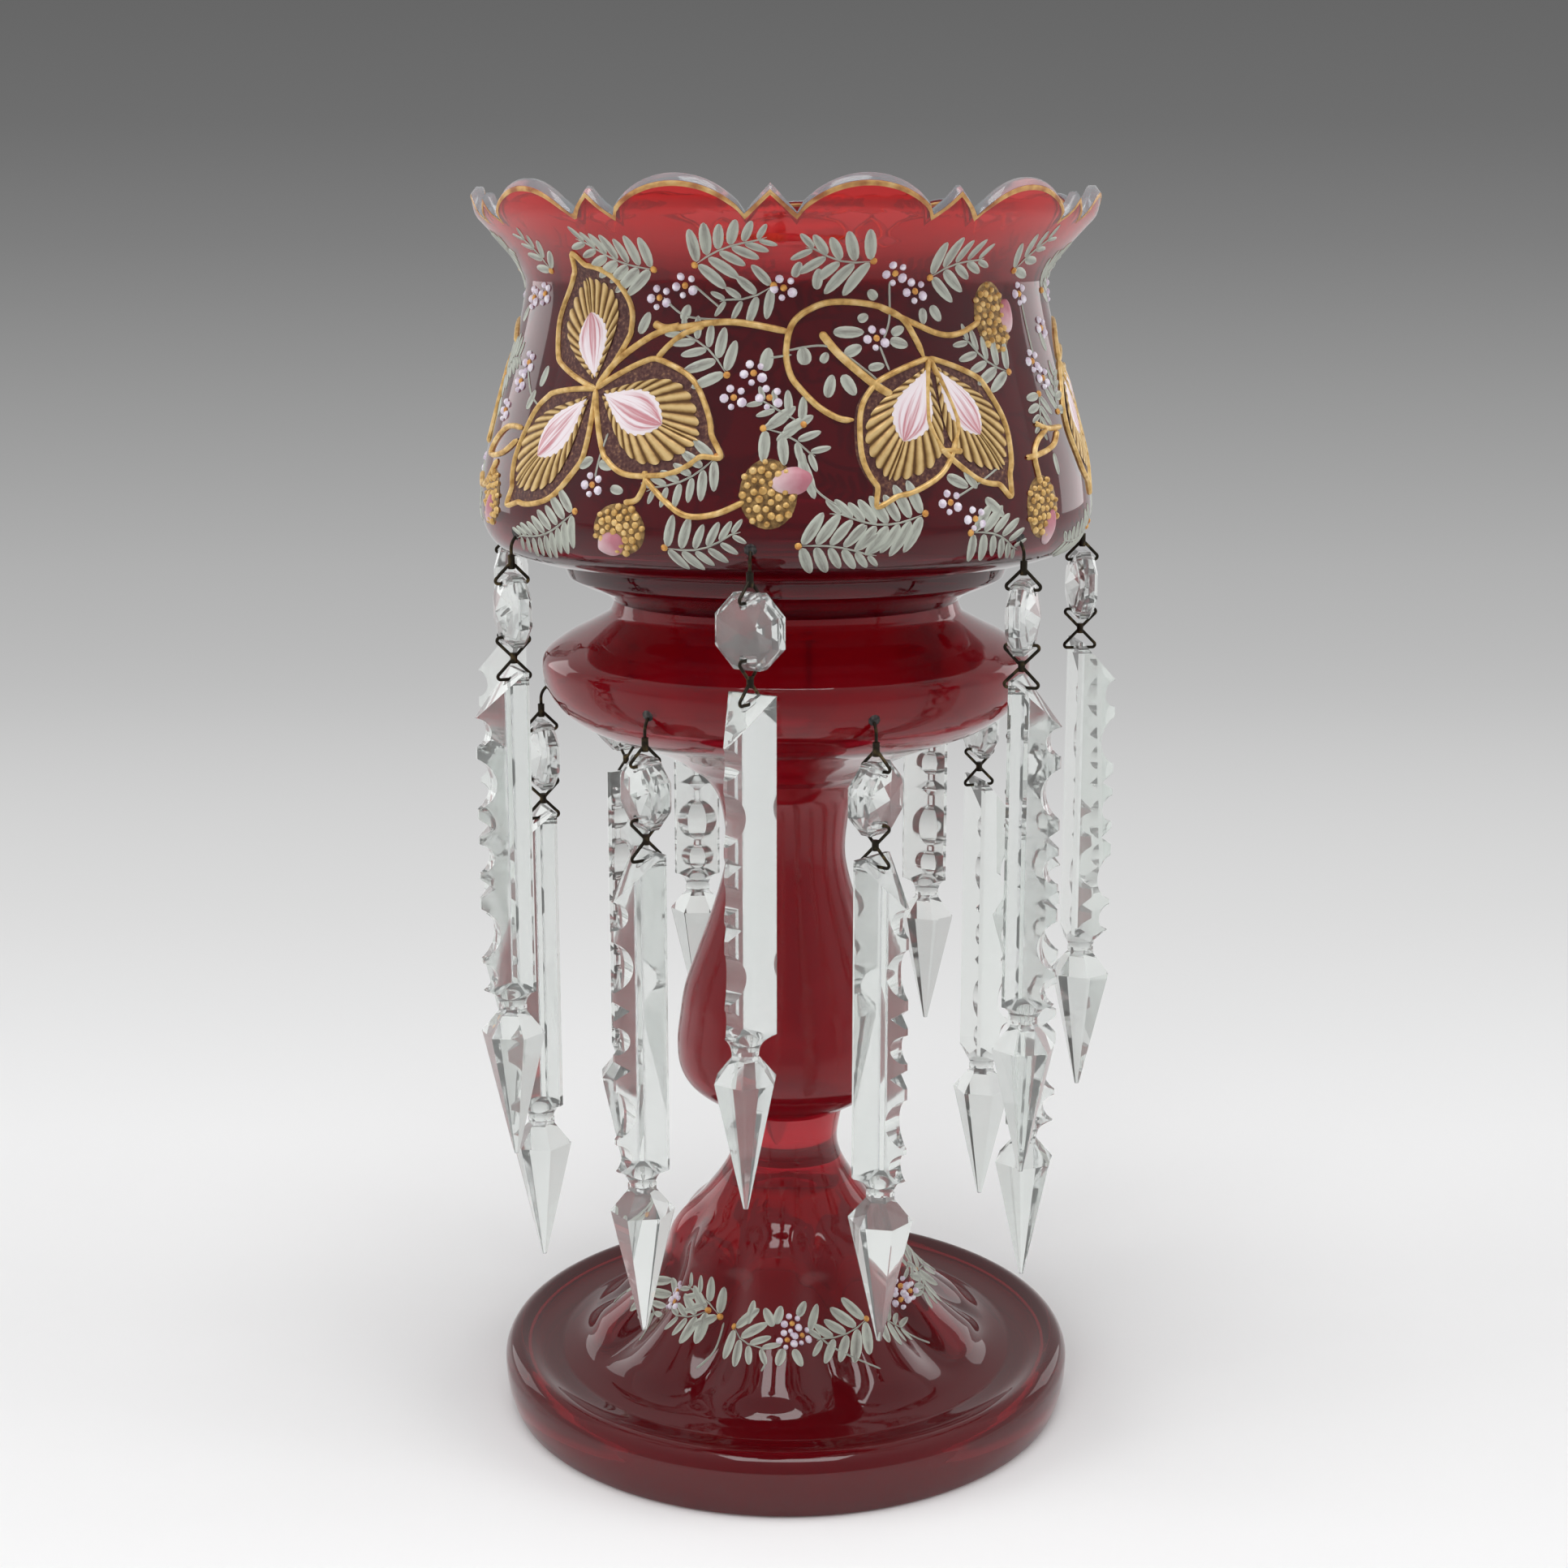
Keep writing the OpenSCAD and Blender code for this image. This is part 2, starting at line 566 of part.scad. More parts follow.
// Half of the spear's outline, from its tip up to a neck that reaches into the bar
module spear_half() {
    neck_r = neck_wide * spear_neck_d / 2;
    polygon([[0, spear_tip_z], [spear_tip_d / 2, spear_tip_z], [spear_d / 2, spear_wide_z],
        [neck_r, spear_top_z], [neck_r, spear_neck_z + neck_lap], [0, spear_neck_z + neck_lap]]);
}

module prism(ring, i) color("aliceblue") hung(ring, i) translate([0, 0, prism_top]) difference() {
    union() {
        difference() {
            translate([0, 0, spear_neck_z]) linear_extrude(-spear_neck_z) prism_section();
            translate([spear_axis, 0, spear_neck_z]) rotate_extrude()
                translate([spear_neck_d / 2 + neck_hollow_r, 0]) circle(r = neck_hollow_r);
            translate([prism_back, 0, -prism_hole_in]) rotate([0, -top_bevel, 0])
                translate([0, -prism_w, -prism_depth * 2])
                    cube([prism_depth, 2 * prism_w, prism_depth * 4]);
            for (n = notches) translate([ridge_x, 0, -n[0] * bar_l]) notch(n[1]);
        }
        translate([spear_axis, 0, 0]) rotate([0, 0, 180 / spear_sides])
            rotate_extrude($fn = spear_sides) spear_half();
    }
    translate([0, 0, -prism_hole_in]) rotate([0, 90, 0])
        cylinder(d = bead_hole_d, h = 4 * prism_depth, center = true, $fn = wire_facets);
}

bowl();
pan();
stem();
foot();
for (ring = rings, i = [1:drop_count]) {
    hanger(ring, i);
    bead(ring, i);
    link(ring, i);
    prism(ring, i);
}
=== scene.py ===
import math

import bpy
import numpy as np
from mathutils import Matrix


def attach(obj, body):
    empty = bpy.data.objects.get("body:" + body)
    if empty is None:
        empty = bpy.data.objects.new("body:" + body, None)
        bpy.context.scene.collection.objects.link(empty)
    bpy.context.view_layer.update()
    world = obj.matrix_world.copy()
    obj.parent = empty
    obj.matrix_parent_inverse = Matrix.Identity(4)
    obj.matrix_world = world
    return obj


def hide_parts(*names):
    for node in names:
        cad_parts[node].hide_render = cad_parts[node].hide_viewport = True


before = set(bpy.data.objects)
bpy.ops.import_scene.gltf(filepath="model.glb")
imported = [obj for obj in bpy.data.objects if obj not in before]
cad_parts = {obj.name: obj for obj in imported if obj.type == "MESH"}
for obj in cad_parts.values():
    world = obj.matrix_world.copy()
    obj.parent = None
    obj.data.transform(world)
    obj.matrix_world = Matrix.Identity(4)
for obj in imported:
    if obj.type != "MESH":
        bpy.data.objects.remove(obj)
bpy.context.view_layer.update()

MM = 0.001  # a millimetre, in metres


# Outlines of the ruby glass, in millimetres, as (radius, height) at the same stations as the solids

def between(start, end, shares):
    """Points between two stations, at the given shares of height and radius."""
    start, end, shares = np.array(start, float), np.array(end, float), np.array(shares, float)
    return start + (end - start) * shares[:, ::-1]


def smooth(points, steps=6):
    """A smooth curve through the points: on each span a cubic whose slope at a point is half the step
    between that point's neighbours."""
    p = np.vstack([points[:1], points, points[-1:]])
    t = (np.arange(steps) / steps)[:, None]
    a, b, c, d = (p[i:len(p) - 3 + i, None] for i in range(4))
    spans = (2 * b + (c - a) * t + (2 * a - 5 * b + 4 * c - d) * t ** 2 + (3 * b - a - 3 * c + d) * t ** 3) / 2
    return np.vstack([spans.reshape(-1, 2), points[-1:]])


def left_of(curve):
    """The unit normal on the left of a curve's direction of travel, at each point."""
    way = np.gradient(curve, axis=0)
    way /= np.linalg.norm(way, axis=1)[:, None]
    return np.stack([-way[:, 1], way[:, 0]], axis=1)


def inset(curve, wall):
    """The curve moved to the left of its direction of travel by a wall."""
    return curve + wall * left_of(curve)


NECK, COLLAR, BASE = (49.7, 245.2), (63.0, 253.2), (64.2, 256.8)
BELLY, WAIST, RIM, TOP = (86.9, 273.5), (73.0, 332.6), (87.3, 357.0), 360.0
PAN_JOINT, PAN_EDGE = (29.0, 196.0), (70.7, 227.5)
FOOT_JOINT, BULB, STEM_WAIST = (17.2, 91.0), (32.7, 111.5), (17.6, 170.0)
FOOT_NECK, SHOULDER, FLUTE_END = (15.6, 82.0), (34.5, 52.0), (57.0, 20.5)
TROUGH, CREST, SAUCER_EDGE, GROUND = (69.0, 15.6), (82.0, 18.6), (86.3, 12.5), (82.8, 0.0)
BOWL_WALL, PAN_WALL, STEM_WALL, FOOT_WALL, GROUND_W = 3.5, 3.0, 3.0, 4.0, 5.0
POLE = 0.01  # radius at which a surface closes on the axis
SOLID_ROWS = 18  # rows of the dome above the foot's hollow
JOINT_ROWS = 4  # rows at each end of the pan's inner wall that give way to the joints

collar = smooth(np.vstack([NECK, between(NECK, COLLAR, [[0.3, 0.21], [0.59, 0.62], [0.83, 0.92]]), COLLAR, BASE]))
side = smooth(np.vstack([
    BASE, between(BASE, BELLY, [[0.05, 0.25], [0.12, 0.48], [0.24, 0.72], [0.4, 0.87], [0.67, 0.97]]),
    BELLY, between(BELLY, WAIST, [[0.21, 0.12], [0.43, 0.37], [0.66, 0.65], [0.87, 0.89]]),
    WAIST, between(WAIST, RIM, [[0.14, 0.04], [0.27, 0.15], [0.41, 0.32], [0.54, 0.52], [0.68, 0.74],
                                [0.81, 0.93]]),
    RIM, (RIM[0], TOP)]))
inner_side = inset(side, BOWL_WALL)
THROAT = (NECK[0] - PAN_WALL, NECK[1])
bowl_floor = smooth(np.array([THROAT, (THROAT[0], NECK[1] + 4),
                              ((THROAT[0] + inner_side[0, 0]) / 2, (THROAT[1] + inner_side[0, 1]) / 2 + 2.7),
                              inner_side[0]]))
pan_outer = smooth(np.vstack([
    PAN_JOINT, between(PAN_JOINT, PAN_EDGE, [[0.09, 0.1], [0.19, 0.25], [0.32, 0.5], [0.4, 0.67], [0.48, 0.78],
                                             [0.58, 0.88], [0.7, 0.95], [0.84, 0.99]]),
    PAN_EDGE, between(PAN_EDGE, NECK, [[0.18, 0.08], [0.41, 0.35], [0.58, 0.63], [0.76, 0.9], [0.88, 0.97]]), NECK]))
pan_inner = inset(pan_outer, PAN_WALL)
stem_outer = smooth(np.vstack([
    FOOT_JOINT, between(FOOT_JOINT, BULB, [[0.05, 0.12], [0.16, 0.37], [0.29, 0.63], [0.45, 0.84], [0.68, 0.97]]),
    BULB, between(BULB, STEM_WAIST, [[0.12, 0.05], [0.29, 0.16], [0.49, 0.43], [0.66, 0.67], [0.86, 0.91]]),
    STEM_WAIST, between(STEM_WAIST, PAN_JOINT, [[0.35, 0.06], [0.62, 0.2], [0.77, 0.39], [0.9, 0.65]]), PAN_JOINT]))
stem_inner = inset(stem_outer, STEM_WALL)
dome = smooth(np.vstack([
    FOOT_JOINT, FOOT_NECK, between(FOOT_NECK, SHOULDER, [[0.21, 0.05], [0.43, 0.23], [0.66, 0.51], [0.83, 0.8]]),
    SHOULDER, between(SHOULDER, FLUTE_END, [[0.19, 0.09], [0.4, 0.23], [0.61, 0.42], [0.82, 0.69]]),
    FLUTE_END, between(FLUTE_END, TROUGH, [[0.67, 0.5]]), TROUGH]))
saucer = smooth(np.vstack([
    TROUGH, between(TROUGH, CREST, [[0.27, 0.46], [0.87, 0.81]]),
    CREST, between(CREST, SAUCER_EDGE, [[0.2, 0.6], [0.59, 0.93]]),
    SAUCER_EDGE, between(SAUCER_EDGE, GROUND, [[0.36, 0.09], [0.71, 0.37], [0.93, 0.69]]), GROUND]))
foot_outer = np.vstack([dome, saucer[1:]])
under_dome = inset(dome[SOLID_ROWS:], -FOOT_WALL)
foot_hollow = np.vstack([(POLE, under_dome[0, 1] + 2), under_dome, smooth(np.array([
    under_dome[-1], (CREST[0] - FOOT_WALL / 2, CREST[1] - FOOT_WALL),
    (GROUND[0] - GROUND_W + 1, SAUCER_EDGE[1] / 2), (GROUND[0] - GROUND_W, 0)]))[1:]])


# Meshes

def mesh_piece(name, material, blocks, closed=False, edge=None, edge_rows=()):
    """One piece from grids of points. A block has the shape (copies, rows, columns, 3), in millimetres; its UVs are
    the share of the way along its rows and columns. With closed, the last column joins the first. The faces above
    the given rows may take a second finish, the edge."""
    points, faces, uvs, first = [], [], [], 0
    for block in blocks:
        copies, rows, columns = block.shape[:3]
        index = first + np.arange(copies * rows * columns).reshape(copies, rows, columns)
        across = np.roll(index, -1, axis=2) if closed else index[:, :, 1:]
        index = index if closed else index[:, :, :-1]
        faces.append(np.stack([index[:, :-1], across[:, :-1], across[:, 1:], index[:, 1:]], axis=-1).reshape(-1, 4))
        u, v = np.meshgrid(np.linspace(0, 1, rows), np.linspace(0, 1, columns), indexing="ij")
        uvs.append(np.broadcast_to(np.stack([u, v], axis=-1), (copies, rows, columns, 2)).reshape(-1, 2))
        points.append(block.reshape(-1, 3))
        first += copies * rows * columns
    points, faces, uvs = np.vstack(points) * MM, np.vstack(faces), np.vstack(uvs)
    mesh = bpy.data.meshes.new(name)
    mesh.vertices.add(len(points))
    mesh.vertices.foreach_set("co", points.ravel().astype(np.float32))
    mesh.loops.add(faces.size)
    mesh.loops.foreach_set("vertex_index", faces.ravel().astype(np.int32))
    mesh.polygons.add(len(faces))
    mesh.polygons.foreach_set("loop_start", np.arange(0, faces.size, 4, dtype=np.int32))
    mesh.polygons.foreach_set("use_smooth", np.ones(len(faces), bool))
    mesh.uv_layers.new(name="grain").data.foreach_set("uv", uvs[faces.ravel()].ravel().astype(np.float32))
    mesh.update(calc_edges=True)
    mesh.validate()
    mesh.materials.append(material)
    if edge:
        mesh.materials.append(edge)
        row = np.arange(len(faces)) // blocks[0].shape[2]
        mesh.polygons.foreach_set("material_index", np.isin(row, edge_rows).astype(np.int32))
    piece = bpy.data.objects.new(name, mesh)
    bpy.context.collection.objects.link(piece)
    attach(piece, "lustre")
    return piece


def revolved(curve, turns):
    """A surface of revolution: each point of the curve carried round the axis through the given angles, which
    are counted from the front, rightwards. The curve is (rows, 2), or (rows, columns, 2) where it changes
    with the angle."""
    curve = curve[:, None, :] if curve.ndim == 2 else curve
    r, z = (np.broadcast_to(curve[..., i], (len(curve), len(turns))) for i in (0, 1))
    return np.stack([r * np.sin(turns), -r * np.cos(turns), z], axis=-1)[None]


# Finishes

DIRECTION, OBJECT = 0, 3  # outputs of Texture Coordinate, the first one as the world has it
CAMERA_RAY, GLOSSY_RAY, TRANSMITTED_RAY = 0, 3, 6  # outputs of Light Path
Y, Z = 1, 2


class Value:
    """A socket of a node tree. Arithmetic on it adds Math nodes, and reflected forms such as 1 - mask work too."""

    def __init__(self, finish, socket):
        self.finish, self.socket = finish, socket

    def _math(self, operation, a, b):
        return self.finish.make("ShaderNodeMath", {"operation": operation}, {0: a, 1: b})

    def __add__(self, other): return self._math("ADD", self, other)
    def __radd__(self, other): return self._math("ADD", other, self)
    def __sub__(self, other): return self._math("SUBTRACT", self, other)
    def __rsub__(self, other): return self._math("SUBTRACT", other, self)
    def __mul__(self, other): return self._math("MULTIPLY", self, other)
    def __rmul__(self, other): return self._math("MULTIPLY", other, self)


class Finish:
    """One node tree. make() adds a node of any type: its settings first, then the values or links of its inputs."""

    def __init__(self, tree):
        self.tree = tree
        tree.nodes.clear()

    def make(self, kind, settings=None, inputs=None, out=0):
        node = self.tree.nodes.new(kind)
        for key, value in (settings or {}).items():
            if key == "stops":
                ramp = node.color_ramp
                while len(ramp.elements) < len(value):
                    ramp.elements.new(0.5)
                for element, (place, colour) in zip(ramp.elements, value):
                    element.position, element.color = place, (*colour, 1)
            else:
                setattr(node, key, value)
        for key, value in (inputs or {}).items():
            if isinstance(value, Value):
                self.tree.links.new(value.socket, node.inputs[key])
            else:
                node.inputs[key].default_value = value
        return Value(self, node.outputs[out])

    def ramp(self, factor, *stops):
        return self.make("ShaderNodeValToRGB", {"stops": stops}, {0: factor})

    def place(self, kind=OBJECT):
        return self.make("ShaderNodeTexCoord", out=kind)

    def part(self, place, axis):
        """One coordinate of a place."""
        return self.make("ShaderNodeSeparateXYZ", None, {0: place}, out=axis)

    def cloud(self, place, detail):
        """Noise with one cycle for each unit of the place."""
        return self.make("ShaderNodeTexNoise", None, {0: place, "Scale": 1.0, "Detail": detail, "Roughness": 0.5})

    def noise(self, scale, detail, stretch=(1, 1, 1)):
        """Cloudy noise on the object's coordinates, in millimetres per cycle, stretched along an axis."""
        scales = tuple(s / (scale * MM) for s in stretch)
        return self.cloud(self.make("ShaderNodeMapping", None, {0: self.place(), 3: scales}), detail)

    def height(self):
        """Height above the table, in millimetres."""
        return self.part(self.place(), Z) * 1000.0

    def span(self, value, low, high, start=0.0, end=1.0):
        """Goes from start to end as the value goes from low to high, and no further."""
        return self.make("ShaderNodeMapRange", {"clamp": True}, {0: value, 1: low, 2: high, 3: start, 4: end})

    def ray(self, kind):
        """1 for rays of that kind and 0 for others."""
        return self.make("ShaderNodeLightPath", out=kind)

    def blend(self, share, first, second):
        """The first shader with a share of the second in it."""
        return self.make("ShaderNodeMixShader", None, {0: share, 1: first, 2: second})

    def mix(self, factor, a, b):
        return self.make("ShaderNodeMix", {"data_type": "RGBA"}, {0: factor, 6: a, 7: b}, out=2)

    def bump(self, height, depth, strength):
        """A bump whose full height is the depth, in millimetres."""
        return self.make("ShaderNodeBump", None, {"Strength": strength, "Distance": depth * MM, "Height": height})

    def surface(self, **inputs):
        return self.make("ShaderNodeBsdfPrincipled", None, {k.replace("_", " "): v for k, v in inputs.items()})


def material(name, shade):
    """A material whose surface is what shade(finish) returns."""
    made = bpy.data.materials.new(name)
    made.use_nodes = True
    finish = Finish(made.node_tree)
    shader = shade(finish)
    out = finish.tree.nodes.new("ShaderNodeOutputMaterial")
    finish.tree.links.new(shader.socket, out.inputs[0])
    return made


def blown_glass(deep, bright, low, high, body, strength, haze=0.0):
    """Ruby glass: deep red at one height and brighter red at another, faint drawn streaks, hand-blown
    waviness, and a film of dust and old polish that dulls it in patches. A share of the light is held in the
    body of the glass, which shows as its own red."""
    def shade(f):
        level = f.span(f.height(), low, high)
        streak = f.noise(16, 4, stretch=(1, 1, 0.25))
        colour = f.mix(level, (*deep, 1), (*bright, 1))
        colour = f.mix(streak * 0.2, colour, (*[c * 0.5 for c in deep], 1))
        dust = f.ramp(f.noise(26, 5), (0.45, (0, 0, 0)), (0.8, (1, 1, 1)))
        wave = f.bump(f.noise(42, 1), 0.5, 0.3)
        rough = dust * 0.05 + 0.015
        clear = f.surface(Base_Color=colour, Roughness=rough + haze, IOR=1.5, Transmission_Weight=1.0, Normal=wave)
        held = f.mix(level, (*[c * body for c in deep], 1), (*[c * body for c in bright], 1))
        held = f.mix(streak * 0.15, held, (*[c * body * 0.4 for c in deep], 1))
        solid = f.surface(Base_Color=held, Roughness=rough + 0.03, IOR=1.5, Normal=wave)
        return f.blend(strength, clear, solid)
    return shade


CRYSTAL_FILM = 0.1  # share of the pale film on the crystal


def crystal_shade(f):
    """Lead crystal: nearly clear, faintly cool, with fine wheel marks and a thin pale film of dust and handling."""
    tint = f.ramp(f.noise(30, 2), (0.3, (0.92, 0.955, 0.932)), (0.7, (0.97, 0.99, 0.975)))
    haze = f.ramp(f.noise(6, 4), (0.5, (0, 0, 0)), (0.8, (1, 1, 1)))
    clear = f.surface(Base_Color=tint, Roughness=haze * 0.03, IOR=1.56, Transmission_Weight=1.0,
                      Normal=f.bump(f.noise(3.5, 2), 0.02, 0.3))
    film = f.surface(Base_Color=tint, Roughness=haze * 0.1 + 0.25, IOR=1.5)
    return f.blend(CRYSTAL_FILM, clear, film)


def wire_shade(f):
    """Old brass wire: brown-black tarnish with a little yellow metal where it rubs."""
    worn = f.ramp(f.noise(2.2, 4), (0.52, (0.035, 0.028, 0.02)), (0.66, (0.12, 0.085, 0.04)),
                  (0.8, (0.3, 0.21, 0.09)))
    return f.surface(Base_Color=worn, Metallic=0.85, Roughness=f.noise(1.5, 3) * 0.3 + 0.3,
                     Normal=f.bump(f.noise(0.5, 3), 0.05, 0.5))


def uv(f, out):
    """The share along a piece's rows (0) or columns (1)."""
    return f.part(f.make("ShaderNodeUVMap", {"uv_map": "grain"}), out)


def leaf_shade(f):
    """Warm grey-green enamel, laid on in brush strokes: pale along the edges, thin and darker along the middle of
    each stroke where the ruby shows through."""
    across = uv(f, 1) * 2.0 - 1.0
    brush = f.make("ShaderNodeCombineXYZ", None, {0: uv(f, 0) * 1.5, 1: uv(f, 1) * 7.0, 2: f.noise(9, 1) * 9.0})
    hairs = f.cloud(brush, 2.0)
    edge = f.span(across * across + hairs * 0.9, 0.35, 0.95)
    body = f.ramp(f.noise(5, 3), (0.35, (0.2, 0.19, 0.168)), (0.65, (0.33, 0.345, 0.3)))
    colour = f.mix(edge, body, (0.47, 0.495, 0.43, 1))
    return f.surface(Base_Color=colour, Roughness=hairs * 0.25 + 0.3, Specular_IOR_Level=0.4,
                     Normal=f.bump(hairs, 0.12, 0.6))


def gold_shade(f):
    """Gilding on raised enamel: warm ochre gold, brighter where it is burnished and brown where it has worn."""
    colour = f.ramp(f.noise(2.6, 5), (0.3, (0.42, 0.22, 0.06)), (0.5, (0.72, 0.46, 0.16)),
                    (0.75, (0.92, 0.68, 0.33)))
    return f.surface(Base_Color=colour, Metallic=0.4, Roughness=f.noise(1.6, 3) * 0.3 + 0.28,
                     Normal=f.bump(f.noise(0.7, 3), 0.08, 0.7))


RIBS = 23  # gold ribs on a petal's shell


def shell_shade(f):
    """The ribbed gold shell of a petal: bright on each rib, brown in the grooves between them."""
    rib = f.make("ShaderNodeMath", {"operation": "SINE"}, {0: uv(f, 1) * (math.pi * RIBS)})
    rib = f.make("ShaderNodeMath", {"operation": "ABSOLUTE"}, {0: rib})
    tone = f.ramp(rib + f.noise(2.0, 4) * 0.5 - 0.25, (0.25, (0.13, 0.06, 0.018)), (0.6, (0.42, 0.25, 0.085)),
                  (1.0, (0.74, 0.53, 0.24)))
    return f.surface(Base_Color=tone, Metallic=0.4, Roughness=f.noise(1.6, 3) * 0.3 + 0.25,
                     Normal=f.bump(f.noise(0.7, 3), 0.06, 0.6))


def rim_gold_shade(f):
    """The thin gilt line along the rim, rubbed in places to the orange-brown size beneath."""
    colour = f.ramp(f.noise(4.0, 5), (0.35, (0.36, 0.13, 0.05)), (0.55, (0.6, 0.34, 0.12)), (0.8, (0.8, 0.6, 0.3)))
    return f.surface(Base_Color=colour, Metallic=0.35, Roughness=f.noise(2.0, 3) * 0.3 + 0.3)


def field_shade(f):
    """The dull brown-maroon ground inside a petal, stippled with a little gold."""
    colour = f.ramp(f.noise(0.9, 5), (0.4, (0.055, 0.014, 0.014)), (0.58, (0.11, 0.042, 0.032)),
                    (0.72, (0.26, 0.13, 0.06)))
    return f.surface(Base_Color=colour, Roughness=f.noise(1.4, 2) * 0.2 + 0.4,
                     Normal=f.bump(f.noise(0.8, 3), 0.08, 0.6))


def bed_shade(f):
    """The ground under a berry's beads: brown, rubbed with gold."""
    colour = f.ramp(f.noise(1.3, 5), (0.35, (0.1, 0.05, 0.018)), (0.55, (0.26, 0.15, 0.05)), (0.75, (0.5, 0.33, 0.13)))
    return f.surface(Base_Color=colour, Metallic=0.3, Roughness=f.noise(1.4, 2) * 0.3 + 0.3,
                     Normal=f.bump(f.noise(0.8, 3), 0.08, 0.6))


def blush_shade(f):
    """White enamel with a white border, brushed with rose in long streaks that run out towards the root."""
    along, across = uv(f, 0), uv(f, 1)
    brush = f.make("ShaderNodeCombineXYZ", None, {0: along * 1.3, 1: across * 13.0, 2: f.noise(140, 1) * 12.0})
    streaks = f.cloud(brush, 3.0)
    rose = f.span(along * 0.6 + streaks * 1.5, 1.0, 1.3, end=0.85)
    edge = across * 2.0 - 1.0
    rim = f.span(edge * edge + along * along * 0.5, 0.6, 0.85, 1.0, 0.0)
    colour = f.mix(rose * rim, (0.8, 0.72, 0.75, 1), (0.5, 0.14, 0.17, 1))
    return f.surface(Base_Color=colour, Roughness=streaks * 0.2 + 0.25, Specular_IOR_Level=0.5,
                     Normal=f.bump(streaks, 0.15, 0.5))


def rose_shade(f):
    """The dusty rose petal on a berry, pale at one end."""
    colour = f.ramp(uv(f, 0) + f.noise(3.0, 3) * 0.3, (0.3, (0.66, 0.5, 0.52)), (0.8, (0.45, 0.16, 0.2)))
    return f.surface(Base_Color=colour, Roughness=0.4, Normal=f.bump(f.noise(1.5, 3), 0.1, 0.5))


def dot_shade(f):
    """White enamel dots with a lilac shade."""
    colour = f.ramp(f.noise(1.6, 2), (0.35, (0.62, 0.52, 0.64)), (0.65, (0.86, 0.82, 0.88)))
    return f.surface(Base_Color=colour, Roughness=f.noise(1.0, 2) * 0.2 + 0.25, Specular_IOR_Level=0.5)


def amber_shade(f):
    """Orange enamel dots."""
    colour = f.ramp(f.noise(1.2, 2), (0.35, (0.5, 0.2, 0.04)), (0.7, (0.78, 0.42, 0.1)))
    return f.surface(Base_Color=colour, Roughness=f.noise(1.0, 2) * 0.2 + 0.25)


def cut_edge_shade(f):
    """The ground and polished bevel of the rim: clear glass without the red, cool blue-grey, hazy in places."""
    tint = f.ramp(f.noise(14, 3), (0.35, (0.55, 0.66, 0.72)), (0.7, (0.85, 0.92, 0.94)))
    return f.surface(Base_Color=tint, Roughness=f.noise(9, 3) * 0.25, IOR=1.5, Transmission_Weight=0.75)


def hole_shadow_shade(f):
    """Painted shade over a drilled hole, where the unbored skin would show the hollow: mostly near black, with some
    dark grey.
    """
    colour = f.ramp(f.noise(1.0, 4), (0.4, (0.012, 0.01, 0.01)), (0.75, (0.1, 0.09, 0.085)))
    return f.surface(Base_Color=colour, Roughness=0.7)


RUBY_BOWL = material("ruby_bowl", blown_glass(
    deep=(0.3, 0.005, 0.022), bright=(0.98, 0.05, 0.05), low=331, high=350, body=0.6, strength=0.22))
RUBY_PAN = material("ruby_pan", blown_glass(
    deep=(0.6, 0.009, 0.03), bright=(0.62, 0.01, 0.032), low=200, high=240, body=0.52, strength=0.28, haze=0.05))
RUBY_STEM = material("ruby_stem", blown_glass(
    deep=(0.64, 0.01, 0.03), bright=(0.66, 0.012, 0.032), low=91, high=190, body=0.58, strength=0.34, haze=0.14))
RUBY_FOOT = material("ruby_foot", blown_glass(
    deep=(0.44, 0.012, 0.024), bright=(0.8, 0.016, 0.034), low=26, high=54, body=0.45, strength=0.32))
CRYSTAL = material("crystal", crystal_shade)
WIRE = material("wire", wire_shade)
LEAF = material("leaf_enamel", leaf_shade)
GOLD = material("raised_gold", gold_shade)
SHELL = material("gold_shell", shell_shade)
RIM_GOLD = material("rim_gold", rim_gold_shade)
FIELD = material("petal_ground", field_shade)
BED = material("berry_ground", bed_shade)
BLUSH = material("blush_enamel", blush_shade)
ROSE = material("rose_enamel", rose_shade)
DOT = material("white_dots", dot_shade)
AMBER = material("amber_dots", amber_shade)
CUT_EDGE = material("cut_edge", cut_edge_shade)
HOLE_SHADOW = material("drilled_hole", hole_shadow_shade)


# The four pieces of ruby glass

SCALLOPS, FIRST_POINT, SCALLOP_DEPTH, POINT_W, POINT_DROP = 11, math.radians(-2.6), 9.5, 13.6, 2.6
CUT_REACH, LOBE_OVERLAP = 1.0, 0.4
POINT_STEPS, LOBE_STEPS = 7, 23
RIM_START, RIM_ROWS, ROW_GAP = 346.0, 10, 0.5
BEVEL_IN, BEVEL_LEAST, BEVEL_MORE, INNER_DROP, EASE = 1.4, 0.4, 1.5, 0.35, 0.15


def rim_height(turns):
    """Height of the cut rim at each angle: a round arc between two small points, each point a straight-sided peak
    between two cuts."""
    step = 2 * np.pi / SCALLOPS
    away = (turns - FIRST_POINT + step / 2) % step - step / 2
    reach = RIM[0] + CUT_REACH
    valley, half_point = TOP - SCALLOP_DEPTH, POINT_W / 2
    half_lobe = reach * np.sin(step / 2 - np.arcsin(half_point / reach)) + LOBE_OVERLAP
    lobe_r = (half_lobe ** 2 + SCALLOP_DEPTH ** 2) / (2 * SCALLOP_DEPTH)
    along = RIM[0] * np.sin(np.abs(away))
    peak = valley + (SCALLOP_DEPTH - POINT_DROP) * (1 - along / half_point)
    from_crest = RIM[0] * np.sin(step / 2 - np.abs(away))
    lobe = TOP - lobe_r + np.sqrt(np.maximum(lobe_r ** 2 - from_crest ** 2, 0))
    return np.where(along < half_point, peak, np.maximum(lobe, valley))


